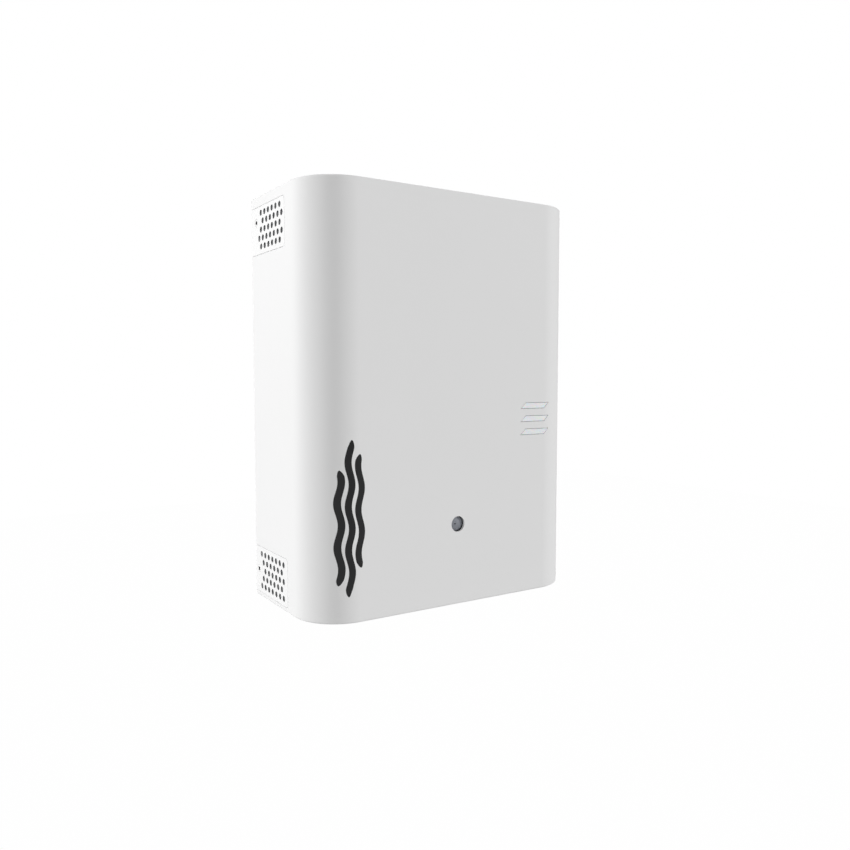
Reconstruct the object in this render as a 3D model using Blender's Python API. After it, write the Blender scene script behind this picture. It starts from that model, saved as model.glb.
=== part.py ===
"""Wall-mounted fog generator: steel cover, chassis, heated block, fluid can and electronics.

Metres, +Z up. The wall is the plane y = 0, the front faces -Y and x = 0 is the middle.
Heights below are taken from the underside of the cover. Everything hangs from one empty,
which puts the middle of the wall face at the world origin.
"""
import math

import bmesh
import bpy
from mathutils import Matrix, Vector

# ---- Overall sizes ----
WIDTH = 0.260
HEIGHT = 0.340
DEPTH = 0.122
CORNER_R = 0.038          # upright front corners of the cover
EDGE_R = 0.0015           # small rounding round the top and the underside
SKIN = 0.002              # cover sheet
SHEET = 0.0015            # chassis and bracket sheet
GAP = 0.0003              # clearance between neighbouring pieces
COVER_BACK = 0.0005       # the cover's rear rim stands this far off the wall
THROUGH = 0.004           # how far a cutter runs past what it cuts

# ---- Chassis ----
CHASSIS_X = WIDTH / 2 - SKIN - GAP
CHASSIS_IN = CHASSIS_X - SHEET
CHASSIS_LOW = SKIN + GAP
CHASSIS_HIGH = HEIGHT - SKIN - GAP
CHASSIS_REACH = 0.075     # how far its side walls come forward
KEYHOLE_X = 0.045
KEYHOLE_DROP = 0.040      # from the top of the unit
KEYHOLE_R = 0.0050
KEYHOLE_SLOT_R = 0.0026
KEYHOLE_SLOT = 0.010
LOWER_FIXING_Z = 0.135
ENTRY_HALF = (0.014, 0.012)   # cable entries in the wall plate
ENTRY_IN = 0.026          # from the side wall to an entry's middle
ENTRY_Z = 0.034
ENTRY_R = 0.004

# ---- Cover screws, in slots that open forwards ----
COVER_SCREW_X = 0.085
COVER_SCREW_Y = -0.030
TAB_HALF = 0.009
TAB_REACH = 0.045

# ---- Countersunk screws ----
HEAD_R = 0.0031
HEAD_DEEP = 0.0016
SHANK_R = 0.0015
HEAD_SUNK = 0.0001
SCREW_LONG = 0.010

# ---- Perforated side plates ----
HOLE_R = 0.0025
HOLE_SIDES = 6
HOLE_PITCH = 0.008
ROW_PITCH = HOLE_PITCH * math.sqrt(3) / 2
PLATE_R = 0.0035
UPPER_PLATE = dict(front=-0.071, low=HEIGHT - 0.048, high=HEIGHT - 0.009, first=-0.0653,
                   top_row=HEIGHT - 0.0143, long_rows=(1, 3), screw_row=1, screw_y=-0.011)
LOWER_PLATE = dict(front=-0.0695, low=0.004, high=0.0435, first=-0.0614,
                   top_row=0.0375, long_rows=(0, 2, 4), screw_row=2, screw_y=-0.007)
ROWS = 5
LONG_ROW = 7
WINDOW_INSET = 0.0035
WINDOW_BACK = -0.022

# ---- Slanted indicator bars ----
BAR_TANGENT = WIDTH / 2 - CORNER_R
BAR_RIGHT = BAR_TANGENT + 0.006
BAR_LONG = 0.026
BAR_LEAN = 0.005
BAR_TALL = 0.0047
BAR_BASES = dict(bottom=0.1393, middle=0.1508, top=0.1622)
BAR_SUNK = 0.0002

# ---- Nozzle ----
NOZZLE_Z = 0.0676
NOZZLE_HOLE_R = 0.0065
TIP_R = 0.0061
TIP_LONG = 0.014
TIP_SUNK = 0.0016
TIP_BEVEL = 0.0004
TIP_MOUTH_R = 0.0048
TIP_JET_R = 0.0014
TIP_JET_LEAN = 15         # degrees off the nozzle's axis
TIP_CONE_DEEP = 0.0035
SOCKET_DEEP = 0.007
TUBE_R = 0.0045
TUBE_BORE = 0.0022

# ---- Fluid can and valve ----
CAN_R = 0.032
CAN_X = -(CHASSIS_IN - CAN_R - 0.009)
MID_Y = -0.059            # middle plane of the can, the valve and the heater
CAN_HIGH = HEIGHT - 0.018
CAN_BASE_IN = 0.004
SHOULDER_TALL = 0.016
SHOULDER_R = 0.014
NECK_R = 0.007
NECK_LONG = 0.016
NECK_IN = 0.006           # how far the neck screws into the valve
VALVE_SIZE = (0.024, 0.026, 0.022)
VALVE_TOP = 0.156
STRAP_T = 0.0008
STRAP_TALL = 0.012
STRAP_EAR = (0.004, 0.008)
STRAP_SLIT = 0.0008
CRADLE_HALF = 0.026
SADDLE_HALF = 0.018
SADDLE_TALL = 0.018
SADDLE_IN = 0.020         # from the can's shoulder, or its far end, to a saddle's middle
COIL_SIZE = (0.022, 0.024, 0.026)
CORE_R = 0.0050
CORE_T = 0.0007
PLUNGER_R = 0.0038
PLUNGER_LONG = 0.016
PLUNGER_IN = 0.005
PLUNGER_TRAVEL = 0.0025
SPRING_WIRE = 0.0003
SPRING_R = 0.0026
SPRING_TURNS = 5
SPRING_STEPS = 9          # points in a turn
PIPE_R = 0.002
PIPE_BEND = 0.010
PIPE_SIDE = 0.0117        # from the pipe's run to the heater housing
PIPE_IN = 0.005           # how far the pipe enters the valve and the block

# ---- Heater ----
INSULATION = 0.0165
HOUSING_T = 0.0012
HOUSING_HALF_X = -CAN_X - PIPE_SIDE
BLOCK_HALF = (HOUSING_HALF_X - HOUSING_T - INSULATION - 2 * GAP, 0.023, 0.030)
CARTRIDGE_R = 0.005
CARTRIDGE_RISE = 0.016    # each cartridge's height above or below the nozzle's axis
CARTRIDGE_SHORT = 0.006   # left solid at the blind end of its bore
CUTOUT_R = 0.008
CUTOUT_TALL = 0.009
CUTOUT_X = 0.020
LEG_HALF = (0.005, 0.036)
LEG_INSET = 0.010

# ---- Control board on its tray ----
TRAY_RIGHT = CHASSIS_IN - 0.0087
TRAY_WIDE = 0.089
TRAY_LEFT = TRAY_RIGHT - TRAY_WIDE
TRAY_LOW = 0.130
TRAY_HIGH = HEIGHT - 0.024
TRAY_FACE = -0.0835
STANDOFF_R = 0.003
STANDOFF_LONG = 0.0045
BOARD_T = 0.0016
BOARD_LEFT = TRAY_LEFT + 0.002
BOARD_RIGHT = TRAY_RIGHT - 0.002
BOARD_LOW = TRAY_LOW + 0.002
BOARD_HIGH = HEIGHT - 0.040
BOARD_BACK = TRAY_FACE - STANDOFF_LONG
BOARD_FRONT = BOARD_BACK - BOARD_T
LED_HALF = 0.0016
LED_TALL = 0.0018
BOARD_HOLE_IN = 0.005
BOARD_HOLE_R = 0.0016
CHIP_HALF = 0.006
CHIP_TALL = 0.0016
TERMINAL_TALL = 0.012
TERMINAL_DEEP = 0.010
WAY_PITCH = 0.007
WAY_HALF = 0.0022
POWER_WAYS = 4
SIGNAL_WAYS = 10
RELAY_HALF = (0.008, 0.014)
RELAY_TALL = 0.0157
CAPACITOR_R = 0.008
CAPACITOR_TALL = 0.022
BUZZER_R = 0.007
BUZZER_TALL = 0.008
BUZZER_HOLE_R = 0.0012

# ---- Small controls ----
BUTTON_HALF = 0.004
BUTTON_TALL = 0.0035
BUTTON_R = 0.0018
BUTTON_OUT = 0.003
BUTTON_IN = 0.0012
BUTTON_TRAVEL = 0.0005
TRIMMER_HALF = 0.005
TRIMMER_TALL = 0.005
ROTOR_R = 0.0028
ROTOR_OUT = 0.0006
ROTOR_IN = 0.002
ROTOR_SLOT = (0.0004, 0.0008)
TAMPER_X = TRAY_RIGHT - 0.0375
TAMPER_SIZE = (0.020, 0.018, 0.010)
TAMPER_OUT = 0.006        # the plunger's length outside the switch
TAMPER_R = 0.0016
TAMPER_IN = 0.004
TAMPER_TRAVEL = 0.002

# ---- Power ----
ROOM_LEFT = CAN_X + CAN_R + STRAP_T
CORE_X = (ROOM_LEFT + TRAY_LEFT) / 2
CORE_HALF_X = (TRAY_LEFT - ROOM_LEFT) / 2 - 0.0103
CORE_HALF_Z = 0.025
CORE_LEG = 0.010          # half the middle leg, and each outer leg
CORE_STACK = 0.028
CORE_Z = HEIGHT - 0.075
COIL_PROUD = 0.010
BATTERY_SIZE = (0.052, 0.043)
BATTERY_LOW = 0.150
BATTERY_HIGH = TRAY_HIGH - 0.069
BATTERY_POST = 0.003
CLAMP_FOOT = 0.008
CLAMP_T = 0.0012
BATTERY_CLAMP_HALF = 0.010
CORE_CLAMP_HALF = 0.018
MAINS_HALF = (0.014, 0.013)
MAINS_DEEP = 0.020
MAINS_Z = 0.075
MAINS_WAYS = 3
GROMMET_LIP = 0.002
GROMMET_FRONT = 0.0025
GROMMET_HOLE_R = 0.0055

# ---- Leads ----
LEAD_R = 0.0014
LEAD_STEP = 0.0045
LEAD_Y = -0.0965          # where the leads enter the board's terminals
TRAY_HOLE = (TRAY_LEFT + 0.0215, TRAY_HIGH - 0.008)
TRAY_HOLE_R = 0.0035


# ---- Helpers ----
def clear_scene():
    for obj in list(bpy.data.objects):
        bpy.data.objects.remove(obj, do_unlink=True)


def empty(name, place, parent=None):
    obj = bpy.data.objects.new(name, None)
    obj.location = place
    obj.parent = parent
    bpy.context.scene.collection.objects.link(obj)
    return obj


def material(name, colour, roughness, metallic=0.0):
    mat = bpy.data.materials.new(name)
    mat.use_nodes = True
    shader = mat.node_tree.nodes["Principled BSDF"]
    shader.inputs["Base Color"].default_value = (*colour, 1.0)
    shader.inputs["Roughness"].default_value = roughness
    shader.inputs["Metallic"].default_value = metallic
    return mat


def link(name, mesh, mat):
    obj = bpy.data.objects.new(name, mesh)
    obj.parent = UNIT
    bpy.context.scene.collection.objects.link(obj)
    if mat:
        mesh.materials.append(mat)
    return obj


def solid(name, bm, mat=None, smooth=False):
    """Turn a bmesh into an object; one without a material is a cutter."""
    bmesh.ops.recalc_face_normals(bm, faces=bm.faces)
    mesh = bpy.data.meshes.new(name)
    bm.to_mesh(mesh)
    bm.free()
    if smooth:
        mesh.shade_smooth()
        mesh.set_sharp_from_angle(angle=math.radians(40))
    obj = link(name, mesh, mat)
    if mat is None:
        obj.hide_render = True
        obj.display_type = "WIRE"
    return obj


def on_axis(axis, u, v, along):
    """A point from its two outline values and its place along the extrusion axis."""
    if axis == "X":
        return (along, u, v)
    if axis == "Y":
        return (u, along, v)
    return (u, v, along)


def add_prism(bm, outline, axis, low, high):
    near = [bm.verts.new(on_axis(axis, u, v, low)) for u, v in outline]
    far = [bm.verts.new(on_axis(axis, u, v, high)) for u, v in outline]
    bm.faces.new(near)
    bm.faces.new(far)
    for i in range(len(outline)):
        j = (i + 1) % len(outline)
        bm.faces.new((near[i], near[j], far[j], far[i]))


def prism(name, outlines, axis, low, high, mat=None, smooth=False):
    """Extrude one outline, or a list of separate ones, along an axis."""
    bm = bmesh.new()
    if not isinstance(outlines[0], list):
        outlines = [outlines]
    for outline in outlines:
        add_prism(bm, outline, axis, low, high)
    return solid(name, bm, mat, smooth)


def rectangle(u0, u1, v0, v1):
    return [(u0, v0), (u1, v0), (u1, v1), (u0, v1)]


def box(name, x, y, z, mat=None):
    """A block from its low and high x, y and z."""
    return prism(name, rectangle(*x, *y), "Z", *z, mat)


def arc(cu, cv, radius, start, end, steps):
    """Points on an arc, with its angles in degrees."""
    angles = [math.radians(start + (end - start) * i / steps) for i in range(steps + 1)]
    return [(cu + radius * math.cos(a), cv + radius * math.sin(a)) for a in angles]


def circle(cu, cv, radius, sides):
    return arc(cu, cv, radius, 0, 360, sides)[:-1]


def rounded(u0, u1, v0, v1, radius, steps=3):
    """A rectangle with four rounded corners."""
    corners = ((u1, v1, 0), (u0, v1, 90), (u0, v0, 180), (u1, v0, 270))
    points = []
    for u, v, start in corners:
        cu = min(max(u, u0 + radius), u1 - radius)
        cv = min(max(v, v0 + radius), v1 - radius)
        points += arc(cu, cv, radius, start, start + 90, steps)
    return points


def turned(name, profile, base, direction, sides, mat=None):
    """Spin (radius, station) points about the line from base along direction."""
    bm = bmesh.new()
    turn = Vector((0, 0, 1)).rotation_difference(Vector(direction)).to_matrix().to_4x4()
    place = Matrix.Translation(base) @ turn
    verts = [bm.verts.new((r, 0, s)) for r, s in profile]
    edges = [bm.edges.new(pair) for pair in zip(verts, verts[1:])]
    if profile[0][0] > 0 and profile[-1][0] > 0:
        edges.append(bm.edges.new((verts[-1], verts[0])))
    bmesh.ops.spin(bm, geom=verts + edges, cent=(0, 0, 0), axis=(0, 0, 1), dvec=(0, 0, 0),
                   angle=math.tau, steps=sides, use_merge=True)
    bmesh.ops.remove_doubles(bm, verts=bm.verts, dist=0.00001)
    bm.transform(place)
    return solid(name, bm, mat, smooth=True)


def rod(name, radius, low, high, base, direction, sides, mat=None):
    return turned(name, [(0, low), (radius, low), (radius, high), (0, high)],
                  base, direction, sides, mat)


def smooth_route(points, spacing):
    """Evenly spaced points on a smooth curve through the route's own points."""
    ends = [2 * points[0] - points[1]] + points + [2 * points[-1] - points[-2]]
    route = []
    for i in range(1, len(ends) - 2):
        before, start, end, after = ends[i - 1:i + 3]
        steps = max(2, round((end - start).length / spacing))
        for k in range(steps):
            t = k / steps
            route.append(0.5 * (2 * start + (end - before) * t
                                + (2 * before - 5 * start + 4 * end - after) * t * t
                                + (3 * start - before - 3 * end + after) * t ** 3))
    route.append(points[-1])
    return route


def tube(name, points, radius, mat):
    """A round wire or pipe along a line of points, closed at both ends."""
    curve = bpy.data.curves.new(name, "CURVE")
    curve.dimensions = "3D"
    curve.bevel_depth = radius
    curve.bevel_resolution = 2
    curve.use_fill_caps = True
    spline = curve.splines.new("POLY")
    spline.points.add(len(points) - 1)
    for spot, point in zip(spline.points, points):
        spot.co = (*point, 1.0)
    return link(name, curve, mat)


def shape(target, tool, operation="DIFFERENCE"):
    """Cut the tool from the target, or join it on."""
    tool.hide_render = True
    tool.display_type = "WIRE"
    step = target.modifiers.new(f"{operation.lower()} {tool.name}", "BOOLEAN")
    step.operation = operation
    step.solver = "EXACT"
    step.object = tool


def join(target, tool):
    shape(target, tool, "UNION")


def ride_on(joint, pieces):
    """Hang pieces from the empty on their joint's axis, leaving them where they are."""
    for piece in pieces:
        piece.parent = joint
        piece.location = -Vector(joint.location)


def mirrored():
    return zip(("left", "right"), (-1, 1))


# ---- Screws ----
def screw_profile(grow=0.0):
    """Half section of a countersunk screw; grown, it is the hole that takes it."""
    head = HEAD_R + grow
    shank = SHANK_R + grow
    deep = HEAD_SUNK + HEAD_DEEP + grow
    top = -THROUGH if grow else HEAD_SUNK
    profile = [(0, top), (head, top)]
    if grow:
        profile.append((head, HEAD_SUNK))
    return profile + [(shank, deep), (shank, SCREW_LONG + grow), (0, SCREW_LONG + grow)]


def screw(name, place, direction):
    return turned(name, screw_profile(), place, direction, 12, STEEL)


def screw_hole(name, place, direction):
    return turned(name, screw_profile(GAP), place, direction, 12)


# ---- Cover with its indicator bars ----
def cover_outline(inset, rear):
    half = WIDTH / 2 - inset
    front = -DEPTH + inset
    radius = CORNER_R - inset
    right = arc(half - radius, front + radius, radius, 0, -90, 12)
    left = arc(radius - half, front + radius, radius, -90, -180, 12)
    return [(half, rear)] + right + left + [(-half, rear)]


def front_surface(x):
    """The cover's front face at x, out to the right-hand corner."""
    past = max(0.0, x - BAR_TANGENT)
    return CORNER_R - DEPTH - math.sqrt(CORNER_R ** 2 - past ** 2)


def bar_outline(base, grow=0.0):
    slope = BAR_LEAN / BAR_TALL
    side = grow * math.hypot(1, slope)
    low = base - grow
    high = base + BAR_TALL + grow
    right = BAR_RIGHT - BAR_LEAN + side
    left = BAR_RIGHT - BAR_LEAN - BAR_LONG - side
    lower = slope * (low - base)
    upper = slope * (high - base)
    return [(left + lower, low), (BAR_TANGENT, low), (right + lower, low),
            (right + upper, high), (BAR_TANGENT, high), (left + upper, high)]


def make_cover():
    bm = bmesh.new()
    add_prism(bm, cover_outline(0.0, -COVER_BACK), "Z", 0.0, HEIGHT)
    rim = [edge for edge in bm.edges
           if abs(edge.verts[0].co.z - edge.verts[1].co.z) < GAP
           and min(v.co.y for v in edge.verts) < -COVER_BACK - GAP]
    bmesh.ops.bevel(bm, geom=rim, offset=EDGE_R, segments=2, profile=0.5, affect="EDGES")
    cover = solid("cover", bm, WHITE_STEEL, smooth=True)
    shape(cover, prism("cover_inside", cover_outline(SKIN, THROUGH), "Z", SKIN, HEIGHT - SKIN))
    shape(cover, prism("nozzle_hole", circle(0, NOZZLE_Z, NOZZLE_HOLE_R, 24),
                       "Y", -DEPTH - THROUGH, -DEPTH + 2 * THROUGH))
    slots = [bar_outline(base, GAP) for base in BAR_BASES.values()]
    shape(cover, prism("bar_slots", slots, "Y", -DEPTH - THROUGH, -DEPTH + 2 * THROUGH))
    for side, sign in mirrored():
        for level, spec in (("upper", UPPER_PLATE), ("lower", LOWER_PLATE)):
            wall = sign * WIDTH / 2
            notch = plate_outline(spec, GAP, THROUGH)
            shape(cover, prism(f"{level}_{side}_notch", notch, "X", wall - THROUGH, wall + THROUGH))
        place = (sign * COVER_SCREW_X, COVER_SCREW_Y, 0)
        shape(cover, screw_hole(f"cover_screw_hole_{side}", place, (0, 0, 1)))
    return cover


def make_bar(level, base):
    back = BOARD_FRONT - LED_TALL - 4 * GAP
    bar = prism(f"light_bar_{level}", bar_outline(base), "Y", -DEPTH, back, CLEAR_PLASTIC)
    for vert in bar.data.vertices:
        if vert.co.y < back - GAP:
            vert.co.y = front_surface(vert.co.x) + BAR_SUNK
    return bar


def make_cover_group():
    pieces = [make_cover()]
    pieces += [make_bar(level, base) for level, base in BAR_BASES.items()]
    for side, sign in mirrored():
        place = (sign * COVER_SCREW_X, COVER_SCREW_Y, 0)
        pieces.append(screw(f"cover_screw_{side}", place, (0, 0, 1)))
    ride_on(empty("cover_slide", (0, -DEPTH / 2, HEIGHT / 2), UNIT), pieces)


# ---- Chassis ----
def plate_outline(spec, grow=0.0, rear=-COVER_BACK):
    """A side plate, its two front corners rounded and its rear end square."""
    radius = PLATE_R + grow
    centre = spec["front"] - grow + radius
    low = spec["low"] - grow
    high = spec["high"] + grow
    lower = arc(centre, low + radius, radius, 270, 180, 3)
    upper = arc(centre, high - radius, radius, 180, 90, 3)
    return [(rear, low)] + lower + upper + [(rear, high)]


def screw_spot(spec, sign):
    row = spec["top_row"] - spec["screw_row"] * ROW_PITCH
    return (sign * WIDTH / 2, spec["screw_y"], row)


def make_chassis():
    channel = [(-CHASSIS_X, 0), (-CHASSIS_X, -CHASSIS_REACH), (-CHASSIS_IN, -CHASSIS_REACH),
               (-CHASSIS_IN, -SHEET), (CHASSIS_IN, -SHEET), (CHASSIS_IN, -CHASSIS_REACH),
               (CHASSIS_X, -CHASSIS_REACH), (CHASSIS_X, 0)]
    chassis = prism("chassis", channel, "Z", CHASSIS_LOW, CHASSIS_HIGH, ZINC_STEEL)
    back = (-SHEET - THROUGH, THROUGH)
    for side, sign in mirrored():
        for level, spec in (("upper", UPPER_PLATE), ("lower", LOWER_PLATE)):
            wall = sign * (CHASSIS_X + CHASSIS_IN) / 2
            opening = rectangle(spec["front"] + WINDOW_INSET, WINDOW_BACK,
                                spec["low"] + WINDOW_INSET, spec["high"] - WINDOW_INSET)
            name = f"{level}_{side}"
            shape(chassis, prism(f"{name}_window", opening, "X", wall - THROUGH, wall + THROUGH))
            hole = circle(*screw_spot(spec, sign)[1:], SHANK_R + GAP, 12)
            shape(chassis, prism(f"{name}_hole", hole, "X", wall - THROUGH, wall + THROUGH))
        x = sign * COVER_SCREW_X
        tab = box(f"tab_{side}", (x - TAB_HALF, x + TAB_HALF), (-TAB_REACH, -SHEET / 2),
                  (CHASSIS_LOW, CHASSIS_LOW + SHEET))
        join(chassis, tab)
        half = SHANK_R + 2 * GAP
        shape(chassis, box(f"tab_slot_{side}", (x - half, x + half),
                           (-TAB_REACH - THROUGH, COVER_SCREW_Y + half),
                           (CHASSIS_LOW - THROUGH, CHASSIS_LOW + THROUGH)))
        keyhole_z = HEIGHT - KEYHOLE_DROP
        x = sign * KEYHOLE_X
        shape(chassis, prism(f"keyhole_{side}", circle(x, keyhole_z, KEYHOLE_R, 16), "Y", *back))
        shape(chassis, box(f"keyhole_slot_{side}", (x - KEYHOLE_SLOT_R, x + KEYHOLE_SLOT_R), back,
                           (keyhole_z, keyhole_z + KEYHOLE_SLOT)))
        lower = circle(x, LOWER_FIXING_Z, KEYHOLE_SLOT_R, 12)
        shape(chassis, prism(f"lower_fixing_{side}", lower, "Y", *back))
        shape(chassis, prism(f"cable_entry_{side}", entry_outline(sign), "Y", *back))


def make_side_plate(name, spec, sign):
    face = sign * WIDTH / 2
    plate = prism(name, plate_outline(spec), "X", face - sign * SKIN, face, WHITE_STEEL)
    holes = []
    for row in range(ROWS):
        is_long = row in spec["long_rows"]
        count = LONG_ROW - (not is_long) - (row == spec["screw_row"] and is_long)
        start = spec["first"] + (0 if is_long else HOLE_PITCH / 2)
        z = spec["top_row"] - row * ROW_PITCH
        holes += [circle(start + i * HOLE_PITCH, z, HOLE_R, HOLE_SIDES) for i in range(count)]
    shape(plate, prism(f"{name}_holes", holes, "X", face - THROUGH, face + THROUGH))
    inward = (-sign, 0, 0)
    shape(plate, screw_hole(f"{name}_screw_hole", screw_spot(spec, sign), inward))
    screw(f"{name}_screw", screw_spot(spec, sign), inward)


def make_side_plates():
    for side, sign in mirrored():
        make_side_plate(f"upper_{side}_plate", UPPER_PLATE, sign)
        make_side_plate(f"lower_{side}_plate", LOWER_PLATE, sign)


# ---- Heater and nozzle ----
def around_block(grow):
    """Low and high x, y and z of the heater block, grown by the same amount all round."""
    half_x, half_y, half_z = BLOCK_HALF
    return ((-half_x - grow, half_x + grow),
            (MID_Y - half_y - grow, MID_Y + half_y + grow),
            (NOZZLE_Z - half_z - grow, NOZZLE_Z + half_z + grow))


def cartridge_spots():
    return (("upper", NOZZLE_Z + CARTRIDGE_RISE), ("lower", NOZZLE_Z - CARTRIDGE_RISE))


def cut_heater_ways(piece, cartridge_r, pipe_r, tube_r):
    """Openings for the cartridge leads on the right, the feed pipe and the nozzle tube."""
    reach = HOUSING_HALF_X + THROUGH
    right = BLOCK_HALF[0] - THROUGH
    for level, z in cartridge_spots():
        spot = circle(MID_Y, z, cartridge_r, 12)
        shape(piece, prism(f"{piece.name}_{level}_lead_way", spot, "X", right, reach))
    spot = circle(MID_Y, NOZZLE_Z, pipe_r, 12)
    shape(piece, prism(f"{piece.name}_pipe_way", spot, "X", -reach, -right))
    spot = circle(0, NOZZLE_Z, tube_r, 16)
    front = MID_Y - BLOCK_HALF[1]
    shape(piece, prism(f"{piece.name}_tube_way", spot, "Y", -DEPTH, front + THROUGH))


def make_heater():
    block = box("heater_block", *around_block(0), ALUMINIUM)
    half_x = BLOCK_HALF[0]
    for level, z in cartridge_spots():
        bore = circle(MID_Y, z, CARTRIDGE_R + GAP, 12)
        blind = -half_x + CARTRIDGE_SHORT
        shape(block, prism(f"cartridge_bore_{level}", bore, "X", blind, half_x + THROUGH))
        rod(f"heater_cartridge_{level}", CARTRIDGE_R, blind + GAP, half_x + CARTRIDGE_SHORT,
            (0, MID_Y, z), (1, 0, 0), 12, STEEL)
    inlet = circle(MID_Y, NOZZLE_Z, PIPE_R + GAP, 12)
    shape(block, prism("inlet_bore", inlet, "X", -half_x - THROUGH, -half_x + 2 * THROUGH))
    outlet = circle(0, NOZZLE_Z, TUBE_BORE, 12)
    front = MID_Y - BLOCK_HALF[1]
    shape(block, prism("outlet_bore", outlet, "Y", front - THROUGH, front + 2 * THROUGH))

    outside = around_block(GAP + INSULATION)
    cutout_base = NOZZLE_Z + BLOCK_HALF[2] + GAP
    for name, rows in (("insulation_rear", (MID_Y + GAP / 2, outside[1][1])),
                       ("insulation_front", (outside[1][0], MID_Y - GAP / 2))):
        half = box(name, outside[0], rows, outside[2], WOOL)
        shape(half, box(f"{name}_hollow", *around_block(GAP)))
        shape(half, rod(f"{name}_cutout_pocket", CUTOUT_R + GAP, -THROUGH, CUTOUT_TALL + GAP,
                        (CUTOUT_X, MID_Y, cutout_base), (0, 0, 1), 12))
        cut_heater_ways(half, CARTRIDGE_R + GAP, PIPE_R + GAP, TUBE_R + GAP)
    rod("thermal_cutout", CUTOUT_R, 0, CUTOUT_TALL, (CUTOUT_X, MID_Y, cutout_base),
        (0, 0, 1), 12, BLACK_PLASTIC)

    inside = around_block(2 * GAP + INSULATION)
    walls = around_block(2 * GAP + INSULATION + HOUSING_T)
    mouth = inside[1][0]
    housing = box("heater_housing", walls[0], (mouth, walls[1][1]), walls[2], ZINC_STEEL)
    shape(housing, box("housing_inside", inside[0], (mouth - THROUGH, inside[1][1]), inside[2]))
    for side, sign in mirrored():
        x = sign * (HOUSING_HALF_X - LEG_INSET)
        leg = box(f"housing_leg_{side}", (x - LEG_HALF[0], x + LEG_HALF[0]),
                  (inside[1][1] + HOUSING_T / 2, -SHEET - GAP),
                  (NOZZLE_Z - LEG_HALF[1], NOZZLE_Z + LEG_HALF[1]))
        join(housing, leg)
    cut_heater_ways(housing, CARTRIDGE_R / 2, PIPE_R + GAP, TUBE_R + GAP)
    lid = box("heater_lid", walls[0], (mouth - GAP - HOUSING_T, mouth - GAP), walls[2], ZINC_STEEL)
    spot = circle(0, NOZZLE_Z, TUBE_R + GAP, 16)
    shape(lid, prism("lid_tube_way", spot, "Y", mouth - THROUGH, mouth))


def make_nozzle():
    face = -DEPTH + TIP_SUNK
    tip_back = face + TIP_LONG
    tube_front = tip_back - SOCKET_DEEP + GAP
    block_front = MID_Y - BLOCK_HALF[1]
    length = block_front - GAP - tube_front
    ring = [(TUBE_BORE, 0), (TUBE_R, 0), (TUBE_R, length), (TUBE_BORE, length)]
    turned("nozzle_tube", ring, (0, tube_front, NOZZLE_Z), (0, 1, 0), 16, STEEL)
    socket = TUBE_R + GAP
    profile = [(0, TIP_CONE_DEEP), (TIP_MOUTH_R, 0), (TIP_R - TIP_BEVEL, 0), (TIP_R, TIP_BEVEL),
               (TIP_R, TIP_LONG), (socket, TIP_LONG), (socket, TIP_LONG - SOCKET_DEEP),
               (0, TIP_LONG - SOCKET_DEEP)]
    tip = turned("nozzle_tip", profile, (0, face, NOZZLE_Z), (0, 1, 0), 24, STEEL)
    lean = math.radians(TIP_JET_LEAN)
    floor = (0, tip_back - SOCKET_DEEP, NOZZLE_Z)
    shape(tip, rod("nozzle_jet", TIP_JET_R, -TIP_JET_R, TIP_LONG - SOCKET_DEEP, floor,
                   (-math.sin(lean), -math.cos(lean), 0), 12))
    ride_on(empty("nozzle_turn", (0, face, NOZZLE_Z), UNIT), [tip])


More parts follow.
